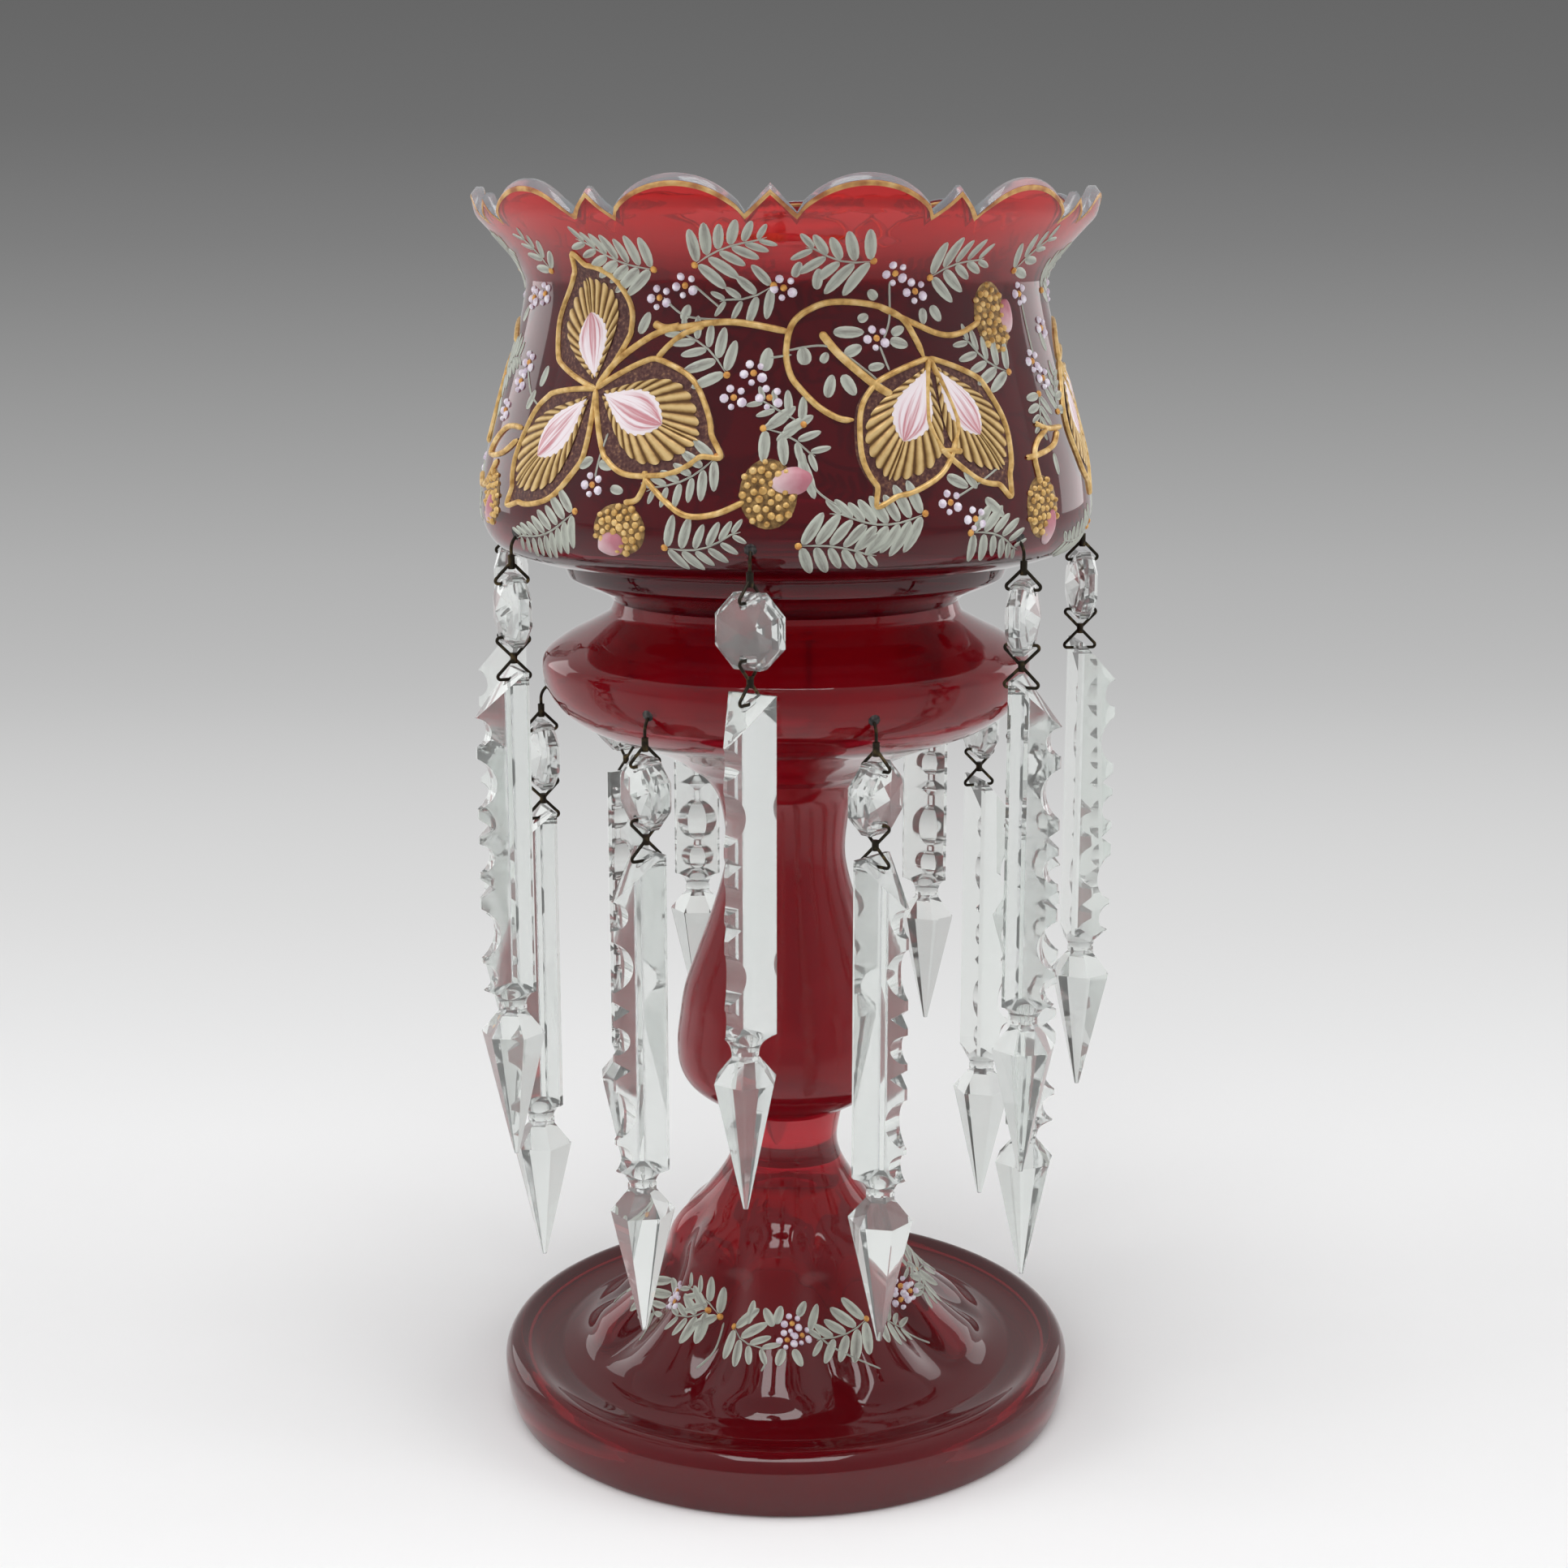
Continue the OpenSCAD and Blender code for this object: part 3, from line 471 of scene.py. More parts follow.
def rim_turns():
    """Angles round the bowl with the corners of the cuts among them."""
    step = 2 * np.pi / SCALLOPS
    corner = np.arcsin(POINT_W / 2 / RIM[0])
    share = np.concatenate([np.linspace(0, corner, POINT_STEPS)[:-1],
                            np.linspace(corner, step - corner, LOBE_STEPS)[:-1],
                            np.linspace(step - corner, step, POINT_STEPS)[:-1]])
    return (FIRST_POINT + (np.arange(SCALLOPS) * step)[:, None] + share).ravel()


def radius_at(curve, z):
    """The radius of a curve at a height."""
    return np.interp(z, curve[:, 1], curve[:, 0])


def flare(curve, rows, top):
    """The part of a wall above RIM_START, up to a height that changes with the angle."""
    z = RIM_START + (top - RIM_START) * np.linspace(0, 1, rows)[:, None]
    return np.stack([radius_at(curve, z), z], axis=-1)


def bowl_wall(lower, curve, rim):
    """One side of the bowl's wall at every angle: the lower curve, then the curve up to its flare, then the flare."""
    even = np.vstack([lower[:-1], curve[curve[:, 1] < RIM_START - ROW_GAP]])
    return np.concatenate([even[:, None] * np.ones((1, len(rim), 1)), flare(curve, RIM_ROWS, rim)])


turns = rim_turns()
top = rim_height(turns)
bevel = BEVEL_LEAST + BEVEL_MORE * np.clip((top - (TOP - SCALLOP_DEPTH)) / SCALLOP_DEPTH, 0, 1) ** 0.7
outer, inner = bowl_wall(collar, side, top - bevel), bowl_wall(bowl_floor, inner_side, top - INNER_DROP)
lip_out, lip_in = (flare(curve, 2, top)[1] for curve in (side, inner_side))
lip = np.stack([outer[-1] + [-0.12, EASE], lip_out + [-BEVEL_IN + EASE, -EASE], lip_out + [-BEVEL_IN - EASE, 0],
                lip_in + [2 * EASE, 0]])
bowl = mesh_piece("bowl_glass", RUBY_BOWL, [revolved(np.concatenate([outer, lip, inner[::-1]]), turns)], closed=True,
                  edge=CUT_EDGE, edge_rows=range(len(outer) - 1, len(outer) + len(lip)))
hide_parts("bowl")

rounds = np.linspace(0, 2 * np.pi, 180, endpoint=False)
pan_bore = (PAN_JOINT[0] - STEM_WALL, PAN_JOINT[1])
inside = np.vstack([[pan_bore], pan_inner[JOINT_ROWS:-JOINT_ROWS], [THROAT]])
pan = mesh_piece("pan_glass", RUBY_PAN, [revolved(pan_outer, rounds), revolved(inside[::-1], rounds)], closed=True)
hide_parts("pan")

hollow = stem_inner[(stem_inner[:, 1] < PAN_JOINT[1] - 1) & (stem_inner[:, 1] > FOOT_JOINT[1] + 3)]
inside = np.vstack([(POLE, hollow[0, 1]), hollow, pan_bore])
stem = mesh_piece("stem_glass", RUBY_STEM, [revolved(stem_outer, rounds), revolved(inside[::-1], rounds)], closed=True)
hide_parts("stem")

FLUTES, FIRST_CREASE, FLUTE_START, FLUTE_DEPTH = 9, math.radians(15), 64.0, 3.4
TOE_R, TOE_H, TOE_ABOVE, TOE_BELOW = 55.0, 2.2, 13, 5


def lobes(r, z, turns):
    """How far the foot's soft moulded lobes stand off its outline, along the normal. The wall is drawn in at each
    crease, by a depth that swells and fades between shoulder and saucer times a cosine of the angle raised to a power,
    so that creases are narrower than lobes. Near the saucer each lobe swells out by a bell curve of the radius, wider
    above than below, which ends it in a round toe."""
    level = np.clip((FLUTE_START - z) / (FLUTE_START - FLUTE_END[1] + 2.5), 0, 1)
    swell = np.where(r < FLUTE_END[0] + 8, np.sin(np.pi * level ** 1.2), 0)
    toe = np.where(z > TROUGH[1] - 0.1, np.exp(-((r - TOE_R) / np.where(r < TOE_R, TOE_ABOVE, TOE_BELOW)) ** 2), 0)
    wave = 0.5 + 0.5 * np.cos(FLUTES * (turns - FIRST_CREASE))
    return TOE_H * toe * (1 - wave) ** 0.8 - FLUTE_DEPTH * swell * wave ** 2.2


def fluted(curve, turns):
    """The foot's outline carried round with its lobes."""
    return curve[:, None] + lobes(curve[:, :1], curve[:, 1:], turns)[..., None] * left_of(curve)[:, None]


many = np.linspace(0, 2 * np.pi, 360, endpoint=False)
ground = np.array([(GROUND[0] - 0.4, 0.0), (GROUND[0] - GROUND_W, 0.0)])
foot_wall = np.concatenate([fluted(foot_outer, many), ground[:, None] * np.ones((1, len(many), 1)),
                            foot_hollow[::-1][1:, None] * np.ones((1, len(many), 1))])
foot = mesh_piece("foot_glass", RUBY_FOOT, [revolved(foot_wall[::-1], many)], closed=True)
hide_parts("foot")


# Enamel and gilding

class Skin:
    """A turned outline as a place to paint: a point is an angle, a distance up the outline and a lift off it. A relief
    gives how far the wall itself stands off the outline."""

    def __init__(self, curve, relief=None):
        self.relief = relief
        step = np.linalg.norm(np.diff(curve, axis=0), axis=1)
        self.run = np.concatenate([[0], np.cumsum(step)])
        self.curve = curve
        self.out = -left_of(curve)

    def up_to(self, z):
        """The distance up the outline to a height."""
        return np.interp(z, self.curve[:, 1], self.run)

    def radius(self, run):
        """The radius at a distance up the outline."""
        return np.interp(run, self.run, self.curve[:, 0])

    def points(self, turn, run, lift):
        """Points in space: the outline's point at that distance, moved out along its normal by the lift, and turned
        round the axis."""
        r, z = self.radius(run), np.interp(run, self.run, self.curve[:, 1])
        lift = lift + self.relief(r, z, turn) if self.relief else lift
        r, z = (at + lift * np.interp(run, self.run, self.out[:, i]) for i, at in enumerate((r, z)))
        return np.stack([r * np.sin(turn), -r * np.cos(turn), z], axis=-1)

    def lay(self, turn, run, x, y, lift):
        """Motifs laid flat on the skin: x goes round it and y up it, in millimetres from the motif's place."""
        turn, run = np.asarray(turn)[..., None, None], np.asarray(run)[..., None, None]
        return self.points(turn + x / self.radius(run), run + y, lift)


bowl_skin = Skin(side)
foot_skin = Skin(dome[::-1], lobes)
SIDES = np.radians([0, 180])
LEAFLET_STEP, LEAFLET_OFF, LEAFLET_SLIM, LEAFLET_LEAST, LEAFLET_MOST = 3.0, 0.5, 0.33, 1.5, 3.1
STALK_W, STALK_PAST_TIP, STALK_LIFT = 0.5, 1.12, 0.3
AMBER_DOT = 1.9
GOLD_SPREAD, LEAF_SPREAD = 1.35, 1.25  # how much wider than its stroke the laid gold or enamel is
BERRY_BEADS, SPIRAL_TURN = 36, 2.39996


def eased(count, trim):
    """Shares from 0 to 1, closer together near both ends by a half cosine, with the very ends trimmed."""
    return 0.5 - 0.5 * np.cos(np.linspace(trim, np.pi - trim, count))


def turned_xy(x, y, angle):
    """Points turned by an angle about the motif's place."""
    angle = np.asarray(angle)[..., None, None]
    return x * np.cos(angle) - y * np.sin(angle), x * np.sin(angle) + y * np.cos(angle)


def strokes(skin, turn, run, angle, length, width, lift=0.4, rows=8, columns=5, fuller=0.85):
    """Leaf-shaped brush strokes, one for each place: an ellipse whose length is skewed towards its base by a power,
    domed across, and highest along the middle."""
    u, v = np.meshgrid(eased(rows, 0.06), np.linspace(-1, 1, columns), indexing="ij")
    shape = np.sqrt(np.maximum(1 - (2 * u ** fuller - 1) ** 2, 0.0004))
    length, width = np.asarray(length)[..., None, None], np.asarray(width)[..., None, None]
    x, y = turned_xy(length * u, width / 2 * v * shape[None], angle)
    return skin.lay(turn, run, x, y, 0.04 + lift * (1 - v ** 2) * np.sqrt(shape))


def lines(skin, turn, run, width, lift):
    """One drawn line: a half-round ridge carried along a path of angles and distances, narrower at its ends."""
    v = np.linspace(-1, 1, 7)
    r = skin.radius(run)
    dx, dy = np.gradient(turn) * r, np.gradient(run)
    size = np.hypot(dx, dy) + 1e-9
    along = np.linspace(0, 1, len(turn))
    half = width / 2 * np.clip(np.minimum(along, 1 - along) * 14 + 0.35, 0, 1)
    x, y = -dy / size * half, dx / size * half
    return skin.points(turn[:, None] + x[:, None] * v / r[:, None], run[:, None] + y[:, None] * v,
                       0.03 + lift * np.sqrt(1.0001 - v ** 2) * (half / half.max())[:, None])[None]


def domes(skin, turn, run, size, lift, rows=5, columns=10):
    """Round dots: a grid of rings and spokes, as high as a flattened half ball."""
    u, v = np.meshgrid(np.linspace(1, 0.02, rows), np.linspace(0, 2 * np.pi, columns), indexing="ij")
    half = np.asarray(size)[..., None, None] / 2
    return skin.lay(turn, run, half * u * np.cos(v), half * u * np.sin(v), lift * np.sqrt(1.0001 - u ** 2) + 0.02)


def places(skin, pairs):
    """Angles and distances for places given as degrees from the front and heights in millimetres."""
    pairs = np.array(pairs, float)
    return np.radians(pairs[:, 0]), skin.up_to(pairs[:, 1])


leaves, stalks, gold_lines, blush, fields, fans, roses, dots, ambers, berries, beds = ([] for _ in range(11))


def path(skin, pairs, steps=10):
    """A smooth path through places."""
    turn, run = places(skin, pairs)
    curve = smooth(np.stack([turn, run], axis=1), steps)
    return curve[:, 0], curve[:, 1]


def fern(skin, base, tip, longest, bend, sides=SIDES):
    """A fern: leaflets in pairs along a bent stalk, long at the base and short at the tip, leaning to the tip, with
    an amber dot at the base."""
    (t0, t1), (s0, s1) = places(skin, [base, tip])
    r = skin.radius((s0 + s1) / 2)
    dx, dy = (t1 - t0) * r, s1 - s0
    size, heading = np.hypot(dx, dy), np.arctan2(dy, dx)
    count = max(4, int(round(size / LEAFLET_STEP)))
    u = np.linspace(0.04, 0.98, count)
    bow = bend * size * np.sin(np.pi * u)
    x = u * dx - bow * np.sin(heading)
    y = u * dy + bow * np.cos(heading)
    lean = np.radians(66 - 26 * u)
    reach = longest * (1 - 0.45 * u ** 1.5) * (1 + 0.08 * np.sin(np.arange(count) * 2.3))
    for way, share in ((1, 1), (-1, 0.9)):
        tilt = heading + way * lean
        from_x, from_y = x + LEAFLET_OFF * np.cos(tilt), y + LEAFLET_OFF * np.sin(tilt)
        for turn in sides:
            leaves.append(strokes(skin, t0 + turn + from_x / r, s0 + from_y, tilt, reach * share,
                                  np.clip(reach * LEAFLET_SLIM, LEAFLET_LEAST, LEAFLET_MOST)))
    end_x, end_y = dx * STALK_PAST_TIP, dy * STALK_PAST_TIP
    for turn in sides:
        stalks.append(lines(skin, t0 + turn + np.append(x, end_x) / r, s0 + np.append(y, end_y), STALK_W, STALK_LIFT))
        ambers.append(domes(skin, [t0 + turn], [s0], [AMBER_DOT], 0.7))


def flowers(skin, pairs, size=2.1, sides=SIDES):
    """Five white dots round an amber one, for each place."""
    turn, run = places(skin, pairs)
    ring = np.radians(90 + 72 * np.arange(5))
    spread = 1.17 * size
    wobble = 1 + 0.12 * np.sin(7 * np.arange(len(turn)))
    for side_turn in sides:
        t = (turn + side_turn)[:, None] + spread * np.cos(ring + wobble[:, None] * 0.4) / skin.radius(run)[:, None]
        s = run[:, None] + spread * np.sin(ring + wobble[:, None] * 0.4)
        grow = size * (1 + 0.22 * np.sin(ring * 2 + wobble[:, None] * 3))
        dots.append(domes(skin, t.ravel(), s.ravel(), grow.ravel(), 0.85))
        ambers.append(domes(skin, turn + side_turn, run, np.full(len(turn), size * 0.85), 0.6))


def teardrop(share, start, length, half, late=1.45, blunt=0.72):
    """A teardrop's outline: down one side from its root to its round end and back, with the half width a sine of
    the share of the length raised to a power, so that it is widest towards the end. A higher second power makes
    the end more pointed."""
    u = 0.5 - 0.5 * np.cos(2 * np.pi * share)
    v = np.sin(np.pi * np.clip(u, 0, 1) ** late) ** blunt * half
    return np.stack([start + length * u, np.where(share < 0.5, v, -v)], axis=-1)


def petal(skin, root, tip, width):
    """A petal from its root to its tip: a dull ground with a pointed tip, a shell of gold ribs round a blush heart,
    and a gold outline. Ribs run from the heart's outline to the shell's, and swell and dip with a sine. Lengths and
    widths are shares of the petal's own."""
    (t0, t1), (s0, s1) = places(skin, [root, tip])
    r = skin.radius((s0 + s1) / 2)
    dx, dy = (t1 - t0) * r, s1 - s0
    size, heading = np.hypot(dx, dy), np.arctan2(dy, dx)

    def put(points, lift, turn):
        x, y = turned_xy(points[None, ..., 0], points[None, ..., 1], np.array([heading]))
        return skin.lay([t0 + turn], [s0], x, y, lift[None])

    share = np.linspace(0.05, 0.95, RIBS * 6 + 1)
    wave = np.abs(np.sin(np.pi * RIBS * np.linspace(0, 1, len(share))))
    near = teardrop(share, 0.09 * size, 0.46 * size, 0.185 * width)
    far = teardrop(share, 0.05 * size, (0.73 + 0.035 * wave) * size, (0.355 + 0.02 * wave) * width)
    t = np.linspace(0, 1, 7)[:, None]
    shell = near * (1 - t[..., None]) + far * t[..., None]
    ridge = 0.15 + 0.6 * wave * np.sin(np.pi * np.clip(t, 0.06, 0.94)) ** 0.5

    ring = np.linspace(0, 1, 161)
    outline = teardrop(ring, 0, 0.9 * size, width / 2, 1.0, 0.55)
    outline[:, 1] *= np.clip(outline[:, 0] / (0.3 * size), 0.001, 1) ** 0.4
    nib = np.cos(np.pi / 2 * np.clip(np.abs(ring - 0.5) / 0.05, 0, 1)) ** 2
    outline += nib[:, None] * [0.1 * size, -0.04 * width]
    outline[:, 1] *= 1 + 0.02 * np.sin(ring * 44) * (np.abs(ring - 0.5) < 0.3)
    middle = np.array([0.5 * size, 0])
    ground = middle + (outline - middle) * np.linspace(1, 0.02, 6)[:, None, None]

    u, v = np.meshgrid(eased(14, 0.05), np.linspace(-1, 1, 11), indexing="ij")
    swell = np.sin(np.pi * u ** 1.45) ** 0.72
    heart = np.stack([(0.08 + 0.48 * u) * size, v * swell * 0.2 * width], axis=-1)
    for turn in SIDES:
        fields.append(put(ground, np.full(ground.shape[:2], 0.05), turn))
        fans.append(put(shell, ridge, turn))
        blush.append(put(heart, 0.3 + 0.6 * (1 - v ** 2) * np.sqrt(swell), turn))
        x, y = turned_xy(outline[None, None, :, 0], outline[None, None, :, 1], np.array([heading]))
        gold_lines.append(lines(skin, t0 + turn + x[0, 0] / r, s0 + y[0, 0], 1.5, 0.85))


def berry(skin, place, wide, tall, seed):
    """A raspberry: beads of gold on a sunflower spiral squeezed to an oval, over a dull ground."""
    (t0,), (s0,) = places(skin, [place])
    k = np.arange(BERRY_BEADS)
    r, a = np.sqrt((k + 0.5) / BERRY_BEADS), k * SPIRAL_TURN + seed
    x, y = wide / 2 * r * np.cos(a), tall / 2 * r * np.sin(a)
    grow = 2.3 + 0.35 * np.sin(k * 1.7 + seed) - 0.45 * r
    for turn in SIDES:
        beds.append(strokes(skin, [t0 + turn - wide * 0.52 / skin.radius(s0)], [s0], [0.0], [wide * 1.04],
                            [tall * 1.04], lift=0.4, rows=14, columns=9, fuller=1))
        berries.append(domes(skin, t0 + turn + x / skin.radius(s0), s0 + y, grow, 0.95))


def rose_petal(skin, place, angle, length, width):
    """A dusty rose petal, domed."""
    (t0,), (s0,) = places(skin, [place])
    for turn in SIDES:
        roses.append(strokes(skin, [t0 + turn], [s0], [math.radians(angle)], [length], [width],
                             lift=1.3, rows=14, columns=9, fuller=1))


def scroll(skin, pairs, width):
    """A gold scroll along a smooth path."""
    turn, run = path(skin, pairs)
    for side_turn in SIDES:
        gold_lines.append(lines(skin, turn + side_turn, run, width * GOLD_SPREAD, 0.9))


def tendrils(skin, paths, sides=SIDES):
    """Thin grey stalks."""
    for pairs in paths:
        turn, run = path(skin, pairs, 8)
        for side_turn in sides:
            stalks.append(lines(skin, turn + side_turn, run, 1.1 * STALK_W, STALK_LIFT))


def single_leaves(skin, rows, sides=SIDES):
    """Single leaves: degrees, height, heading, length and width of each."""
    rows = np.array(rows, float)
    turn, run = places(skin, rows[:, :2])
    for side_turn in sides:
        leaves.append(strokes(skin, turn + side_turn, run, np.radians(rows[:, 2]), rows[:, 3],
                              rows[:, 4] * LEAF_SPREAD))


def dress_bowl():
    """The bowl's flowers, scrolls, berries, ferns and dots, on two sides."""
    k = bowl_skin
    for root, tip, width in [
            ((-38, 307), (-47, 341), 27), ((-38, 307), (-11, 292), 30), ((-38, 307), (-59, 275), 26),
            ((28, 315), (43, 280), 23), ((28, 315), (16, 278), 27), ((74, 313), (99, 292), 27),
            ((74, 313), (78, 277), 25)]:
        petal(k, root, tip, width)
    for width, pairs in [
            (1.3, [(-38, 307), (-34, 314), (-26, 321), (-19, 323), (-10, 324), (1, 321.5)]),
            (1.3, [(74, 313), (78, 320), (86, 324), (96, 323), (104, 318)]),
            (1.15, [(97, 282), (102, 279), (108, 281), (113, 287)]),
            (1.15, [(-25, 315), (-23, 318), (-20, 321), (-16, 323)]),
            (1.5, [(-21, 323), (-24, 322.4), (-26.5, 323.5)]),
            (1.15, [(-25, 287), (-24.6, 284.5), (-26, 280), (-28.5, 279)]),
            (1.15, [(-25, 285.5), (-21, 280), (-17, 276.3), (-12, 276.8), (-7, 280)]),
            (1.15, [(-58, 296), (-65, 296), (-71, 292), (-73, 288), (-65, 289), (-59, 293)]),
            (1.2, [(12, 300), (9.5, 300.3), (6, 303), (3, 307), (0.8, 311), (0, 317), (1.4, 324), (6, 328),
                   (11, 329), (18, 328), (23, 325), (25.5, 320), (27, 315)]),
            (1.15, [(18, 328), (25, 324), (31, 321), (36, 321), (42, 324)]),
            (1.6, [(6.6, 321.5), (10, 316), (16, 309), (19.5, 306)]), (1.15, [(53, 297.5), (57, 296), (63, 296)]),
            (1.15, [(57, 296), (52.5, 293), (50.5, 289), (51, 283)]),
            (1.15, [(48, 289), (52, 289.5), (58, 291.5), (61, 295)]), (1.15, [(27.8, 292), (32.4, 291.6)])]:
        scroll(k, pairs, width)
    for place, wide, tall, seed in [
            ((-3, 282), 14, 17, 0.3), ((-29.5, 272), 15, 13, 1.1), ((-68, 277), 13, 15, 2.0),
            ((46, 325), 13, 18, 2.7), ((51.5, 276), 14, 16, 3.6)]:
        berry(k, place, wide, tall, seed)
    for place, angle, length, width in [
            ((-2.5, 284), 12, 10.5, 7.2), ((-34, 267), 20, 8.5, 7.0), ((50, 321), 80, 9.0, 6.4),
            ((53, 266), 78, 9.5, 5.6), ((-70, 270), 60, 9.0, 6.0)]:
        rose_petal(k, place, angle, length, width)
    for base, tip, longest, bend in [
            ((-27, 337), (-41, 344), 10.2, 0.1), ((-18, 338), (-5, 344), 10.2, 0.06),
            ((-2.5, 333), (-12, 329.5), 7.8, 0.1), ((-11, 311), (-20, 321), 9.0, -0.1),
            ((-4, 298), (4, 292), 9.0, 0.1), ((-12, 291), (-23, 283), 7.8, 0.1), ((-39, 276), (-55, 268), 9.0, 0.1),
            ((-21, 268), (-9, 272), 8.4, -0.12), ((-57, 337), (-60, 345), 7.8, 0.0),
            ((17, 339), (5, 342), 10.8, 0.12), ((30, 335), (41, 339.5), 9.6, 0.08),
            ((54, 337), (60, 345), 8.4, 0.0), ((48, 311), (38, 319), 9.0, 0.1), ((24, 276.5), (9, 277), 10.2, 0.12),
            ((33, 271), (44, 266), 9.0, 0.1), ((57, 305), (55, 297), 7.2, 0.0), ((2, 269), (14, 266.5), 9.6, 0.06),
            ((3, 299), (-4, 304.5), 7.2, 0.0), ((72, 332), (80, 341), 9.0, 0.0), ((98, 309), (110, 314), 9.0, 0.1),
            ((84, 268), (98, 272), 9.6, 0.1), ((92, 338), (104, 343), 9.6, 0.1), ((64, 300), (67, 309), 7.8, 0.1)]:
        fern(k, base, tip, longest, bend)
    fern(k, (77, 267.5), (63, 265.5), 9.0, 0.08, SIDES[:1])  # in front only, as a hook hangs there behind
    flowers(k, [
        (-26, 330), (-20.5, 333), (-0.5, 332.4), (-6, 311.5), (-9.5, 305.5), (-3, 305.5), (-35.5, 283),
        (-61.5, 331), (-62.5, 313), (-64.5, 308), (22, 336), (26.6, 331.6), (17.5, 320), (29, 279), (34, 274.5),
        (57.5, 331), (57.5, 313.5), (60.5, 309), (66, 322), (88, 332), (112, 330), (92, 284), (110, 300)])
    tendrils(k, [
        [(-25, 330), (-20, 325.5), (-12, 324.5)], [(0, 317), (8, 318), (15, 312), (18, 308)],
        [(21, 334), (20.5, 325), (19, 320)], [(18, 318), (19.5, 312)], [(-35, 285), (-34.5, 290), (-33.5, 296)],
        [(-4, 315), (1, 316)], [(30, 280), (36, 284), (40, 287)], [(-62, 311), (-58, 305), (-54, 302)],
        [(11, 277), (5, 283), (3, 292)], [(58, 329), (58.5, 315)], [(-18.5, 333), (-13, 327.5)]])
    single_leaves(k, [
        (-29.6, 321, 68, 6, 2.4), (-20.5, 324.4, 70, 4.2, 2.2), (-39, 287.5, 25, 5, 2.4),
        (-34.5, 288.5, -8, 5, 2.4), (-31.5, 282.4, -10, 4, 2), (-4, 312, 80, 6, 2.8), (-55, 307, 70, 6, 2.4),
        (-58.5, 301, 60, 6, 2.4), (1.5, 335, 70, 4.4, 2), (6, 332, 85, 5.4, 2.2), (9, 321.5, 0, 8, 2.5),
        (11, 316, 25, 5, 2.4), (3.6, 313.5, 100, 4.6, 3), (6.6, 314, 60, 3, 1.8), (7.4, 305.5, 75, 6, 2.4),
        (10.4, 311, -60, 6, 2.6), (18, 329.6, 130, 3, 2.2), (14, 324.4, 25, 3, 1.9), (20.6, 321, 25, 4, 2),
        (20.2, 319.4, -15, 5, 2.4), (15.4, 312.6, 10, 4.4, 1.8), (30, 328, -60, 4.6, 2.4), (28, 327.4, -95, 4.2, 2),
        (28.6, 285.6, -25, 7, 2.4), (32.4, 287, -55, 6, 2.2), (36.4, 279.5, -38, 8, 2.4), (57.6, 289.5, -80, 6, 2),
        (2.4, 291, -72, 11, 2.4), (94, 280, 60, 6, 2.4), (66, 316, 110, 6, 2.4), (90, 326, 70, 6, 2.4),
        (106, 324, 40, 6, 2.4), (104, 298, 120, 6, 2.4)])


def dress_foot():
    """The garland round the foot's dome: ferns and dots, three times round."""
    k = foot_skin
    sides = np.radians([0, 120, 240])
    for base, tip, longest, bend in [
            ((-35, 38.3), (-47, 34.5), 9.6, 0.1), ((-30, 37.6), (-47, 42), 8.4, -0.1),
            ((-23, 36.1), (-9, 31.5), 9.6, -0.1), ((34, 36.1), (15, 34.0), 10.2, 0.1),
            ((40, 36.0), (52, 31.5), 9.0, -0.05)]:
        fern(k, base, tip, longest, bend, sides)
    flowers(k, [(2.5, 37.6), (6.5, 34.8), (0.5, 33.6), (-57, 39.5), (-54, 37.0), (-59.5, 36.5)], 1.9, sides)
    single_leaves(k, [
        (-5, 36.8, 120, 6, 2.3), (-4, 37.4, 75, 5.5, 2.3), (5, 39.4, 55, 5, 2.2), (3, 31.5, -70, 5.5, 2.2),
        (-1, 31.5, -105, 5.5, 2.2), (10, 36, 62, 8, 2.4), (-16, 37, 80, 7, 2.3), (-62, 38, 150, 6, 2.2)], sides)
    tendrils(k, [
        [(-9, 31.5), (-7, 28.5), (-8, 26.2)], [(15, 34), (24, 28.5), (31, 24.4)],
        [(-28, 36.5), (-28, 30), (-31, 25.3)], [(8, 35.8), (11, 35.2), (15, 34)],
        [(52, 31.5), (56, 28), (59, 25.3)]], sides)


dress_bowl()
dress_foot()

for name, finish, blocks in [
        ("enamel_leaves", LEAF, leaves), ("enamel_stalks", LEAF, stalks), ("gilt_scrolls", GOLD, gold_lines),
        ("petal_hearts", BLUSH, blush), ("petal_grounds", FIELD, fields), ("gilt_shells", SHELL, fans),
        ("berry_petals", ROSE, roses), ("enamel_dots", DOT, dots), ("amber_dots", AMBER, ambers),
        ("gilt_berries", GOLD, berries), ("berry_grounds", BED, beds)]:
    mesh_piece(name, finish, blocks)

# The gilt line below the cut rim, on the outside, and a thin one inside it
rim_band = []
band_shares, band_lifts = np.array([-1, -0.6, 0, 0.6, 1])[:, None], np.array([0.02, 0.14, 0.2, 0.14, 0.02])[:, None]
for curve, drop, width, way in ((side, bevel + 0.7, 1.3, 1), (inner_side, 1.4, 1.0, -1)):
    z = top - drop + band_shares * width / 2
    rows = np.stack([radius_at(curve, z) + way * band_lifts, z], axis=-1)
    rim_band.append(revolved(rows[::way], turns))
mesh_piece("rim_gilt_line", RIM_GOLD, rim_band, closed=True)

# Dark discs of painted shade where the hooks pass through the glass, whose skins are not bored
DROPS, HOLE_RING, HOLE_LIFT = 7, 3.4, 0.12
under_pan = Skin(pan_outer[pan_outer[:, 1] < PAN_EDGE[1]])
rings = []
for skin, first, height in ((bowl_skin, -6, 268.0), (under_pan, 19.5, 220.8)):
    drop_turns = np.radians(first + 360 / DROPS * np.arange(DROPS))
    rings.append(domes(skin, drop_turns, np.full(DROPS, skin.up_to(height)), np.full(DROPS, HOLE_RING), HOLE_LIFT))
mesh_piece("drilled_holes", HOLE_SHADOW, rings)

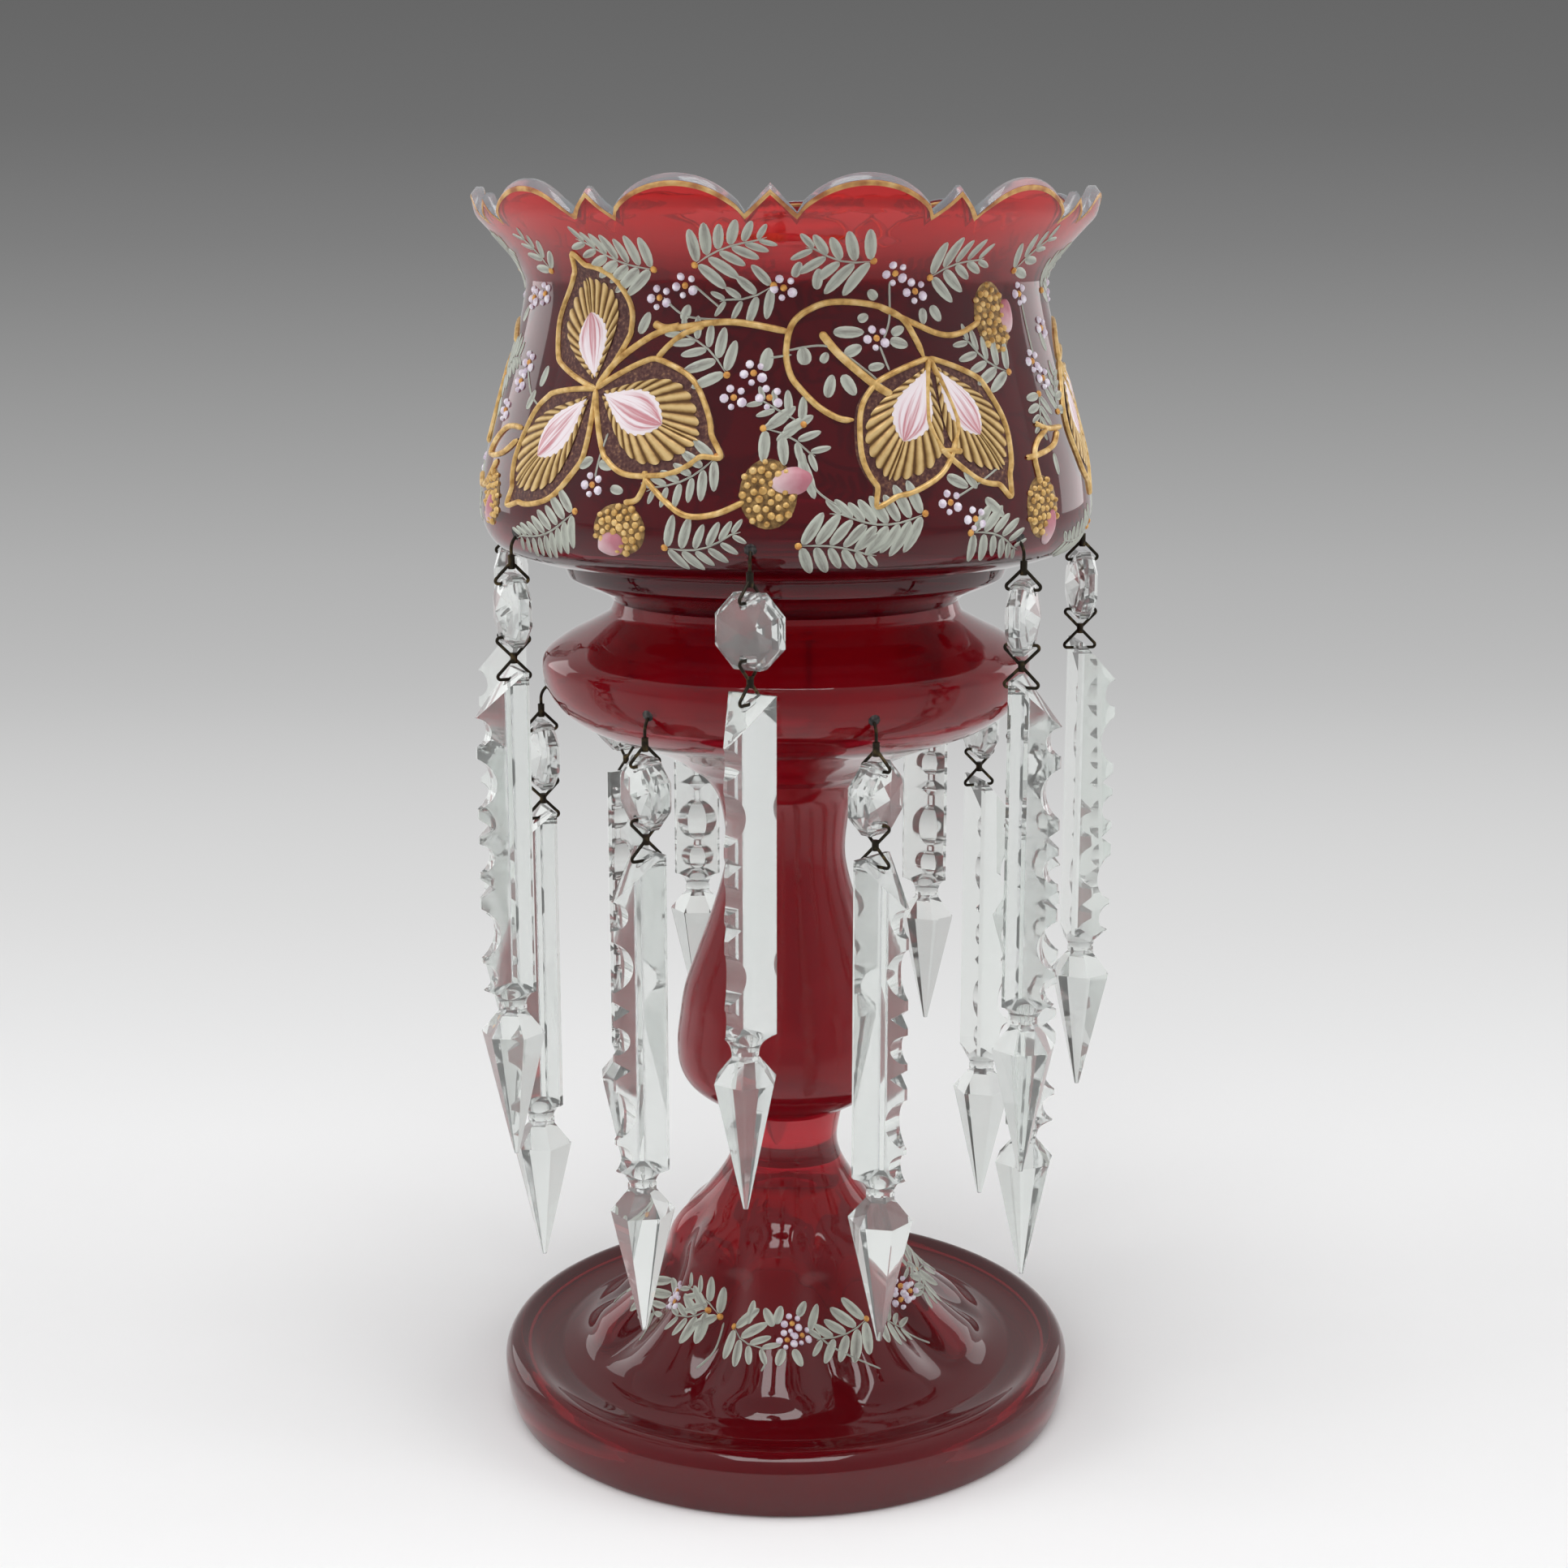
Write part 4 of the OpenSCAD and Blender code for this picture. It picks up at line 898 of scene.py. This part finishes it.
for name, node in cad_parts.items():
    if "bead" in name or "prism" in name:
        finish = CRYSTAL
    elif "hanger" in name or "link" in name:
        finish = WIRE
    else:
        continue
    for slot in node.material_slots:
        slot.material = finish


# Floor, light and camera

FLOOR_REACH, BEND_START, BEND_R, BACKDROP_TOP = 6.0, 1.2, 0.8, 4.0  # metres
# Greys of the floor and backdrop: painted shade, darker towards the back and up the wall
FLOOR_SHADE_GREYS = ((0.0, 0.9), (0.155, 0.87), (0.224, 0.776), (0.272, 0.70), (0.423, 0.565), (0.578, 0.434),
               (0.682, 0.314), (0.768, 0.209), (0.823, 0.156), (0.9, 0.12))
# Greys of the wall the camera sees round the sweep: painted shade, darker upwards
WALL_SHADE_GREYS = ((0.0, 0.62), (0.4, 0.36), (0.75, 0.2), (1.0, 0.15))
SHADE_GREY, MIDDLE_GREY = (0.34, 0.34, 0.35), (0.7, 0.7, 0.71)


def greys(stops):
    """Ramp stops of plain grey."""
    return [(place, (grey, grey, grey)) for place, grey in stops]


def sweep_shade(f):
    """The floor's grey goes from pale at the front to dark at the top of the backdrop: painted shade, as the studio's
    light falls off. Near the object it is lit and takes its shadow. Further back the camera sees the plain grey, and
    so do polished glass and what shows through it, a little paler."""
    place = f.place()
    depth = f.part(place, Y)
    away = f.span(f.make("ShaderNodeVectorMath", {"operation": "LENGTH"}, {0: place}, out=1), 0.1, 0.3)
    far = f.span(depth + f.part(place, Z) * 0.9, -0.3, 3.0)
    tone = f.ramp(far, *greys(FLOOR_SHADE_GREYS))
    nearer = f.mix(f.ray(TRANSMITTED_RAY), (*SHADE_GREY, 1), (*MIDDLE_GREY, 1))
    paler = f.mix(f.span(depth, -0.9, -0.05), nearer, f.mix(0.6, tone, (0.8, 0.8, 0.8, 1)))
    bounce = f.ray(GLOSSY_RAY) + f.ray(TRANSMITTED_RAY)
    seen = f.span(depth, 0.15, 0.6)
    lit = f.make("ShaderNodeBsdfDiffuse", None, {0: tone})
    shown, pale = (f.make("ShaderNodeEmission", None, {0: grey, 1: 1.0}) for grey in (tone, paler))
    return f.blend(seen * f.ray(CAMERA_RAY) + away * bounce, lit, f.blend(bounce, shown, pale))


def sweep():
    """A studio sweep: a level floor that curves up by a quarter circle into a tall backdrop, as a profile carried
    sideways."""
    bend = np.linspace(0, np.pi / 2, 16)
    curve = np.stack([BEND_START + BEND_R * np.sin(bend), BEND_R * (1 - np.cos(bend))], axis=1)
    profile = np.vstack([[(-FLOOR_REACH, 0.0)], curve, [(BEND_START + BEND_R, BACKDROP_TOP)]])
    x = np.tile([-FLOOR_REACH, FLOOR_REACH], len(profile))
    points = np.column_stack([x, np.repeat(profile, 2, axis=0)])
    index = np.arange(len(points)).reshape(-1, 2)
    faces = np.stack([index[:-1, 0], index[:-1, 1], index[1:, 1], index[1:, 0]], axis=-1)
    mesh = bpy.data.meshes.new("studio_sweep")
    mesh.from_pydata(points.tolist(), [], faces.tolist())
    mesh.polygons.foreach_set("use_smooth", np.ones(len(faces), bool))
    mesh.materials.append(material("studio_sweep", sweep_shade))
    floor = bpy.data.objects.new("studio_sweep", mesh)
    bpy.context.collection.objects.link(floor)


def studio_sky():
    """The light of the room: dim in front, brighter behind, pale where it shows through glass. The camera sees a grey
    wall that darkens upwards, painted shade like that of the backdrop."""
    world = bpy.data.worlds.new("studio")
    bpy.context.scene.world = world
    world.use_nodes = True
    f = Finish(world.node_tree)
    way = f.place(DIRECTION)
    room = f.ramp(f.span(f.part(way, Y), -1.0, 0.6), (0.0, SHADE_GREY), (0.5, MIDDLE_GREY), (1.0, (0.9, 0.9, 0.9)))
    room = f.mix(f.ray(TRANSMITTED_RAY), room, (0.85, 0.86, 0.86, 1))
    wall = f.ramp(f.span(f.part(way, Z), -0.06, 0.14), *greys(WALL_SHADE_GREYS))
    sky = f.make("ShaderNodeBackground", None, {0: f.mix(f.ray(CAMERA_RAY), room, wall), 1: 0.8})
    out = f.tree.nodes.new("ShaderNodeOutputWorld")
    f.tree.links.new(sky.socket, out.inputs[0])


def lamp(name, place, aim, size, power, mirrored=False):
    """A soft box that points at a spot. Only a mirrored one shows itself in polished glass."""
    light = bpy.data.lights.new(name, "AREA")
    light.shape, light.size, light.energy = "SQUARE", size, power
    box = bpy.data.objects.new(name, light)
    bpy.context.collection.objects.link(box)
    d = np.array(aim, float) - np.array(place, float)
    box.location = place
    box.visible_glossy = mirrored
    box.visible_transmission = False
    box.rotation_euler = (math.atan2(math.hypot(d[0], d[1]), -d[2]), 0, math.atan2(d[1], d[0]) - math.pi / 2)


sweep()
studio_sky()
lamp("left_box", (-1.3, -0.3, 0.9), (0, 0, 0.2), 0.9, 7)
lamp("right_box", (1.3, -0.2, 0.9), (0, 0, 0.2), 0.9, 7)
lamp("top_box", (0, -0.35, 1.6), (0, 0, 0.2), 0.8, 8.5, mirrored=True)
lamp("front_box", (-0.5, -1.5, 1.0), (0, 0, 0.25), 0.8, 4.5)
lamp("left_edge", (-1.0, 0.9, 0.5), (0, 0, 0.25), 0.6, 1.3, mirrored=True)
lamp("right_edge", (1.0, 0.9, 0.5), (0, 0, 0.25), 0.6, 1.3, mirrored=True)

# The camera of the photo, whose focal length and frame are in pixels
FOCAL, FRAME, SENSOR, TILT = 2824, 1932, 36, 11.97
scene = bpy.context.scene
scene.view_settings.view_transform = "Standard"
eye = bpy.data.cameras.new("photo_camera")
eye.sensor_width, eye.lens = SENSOR, SENSOR * FOCAL / FRAME
camera = bpy.data.objects.new("photo_camera", eye)
bpy.context.collection.objects.link(camera)
camera.location = (-0.00056, -0.6613, 0.3299)
camera.rotation_euler = (math.radians(90 - TILT), 0, 0)
scene.camera = camera
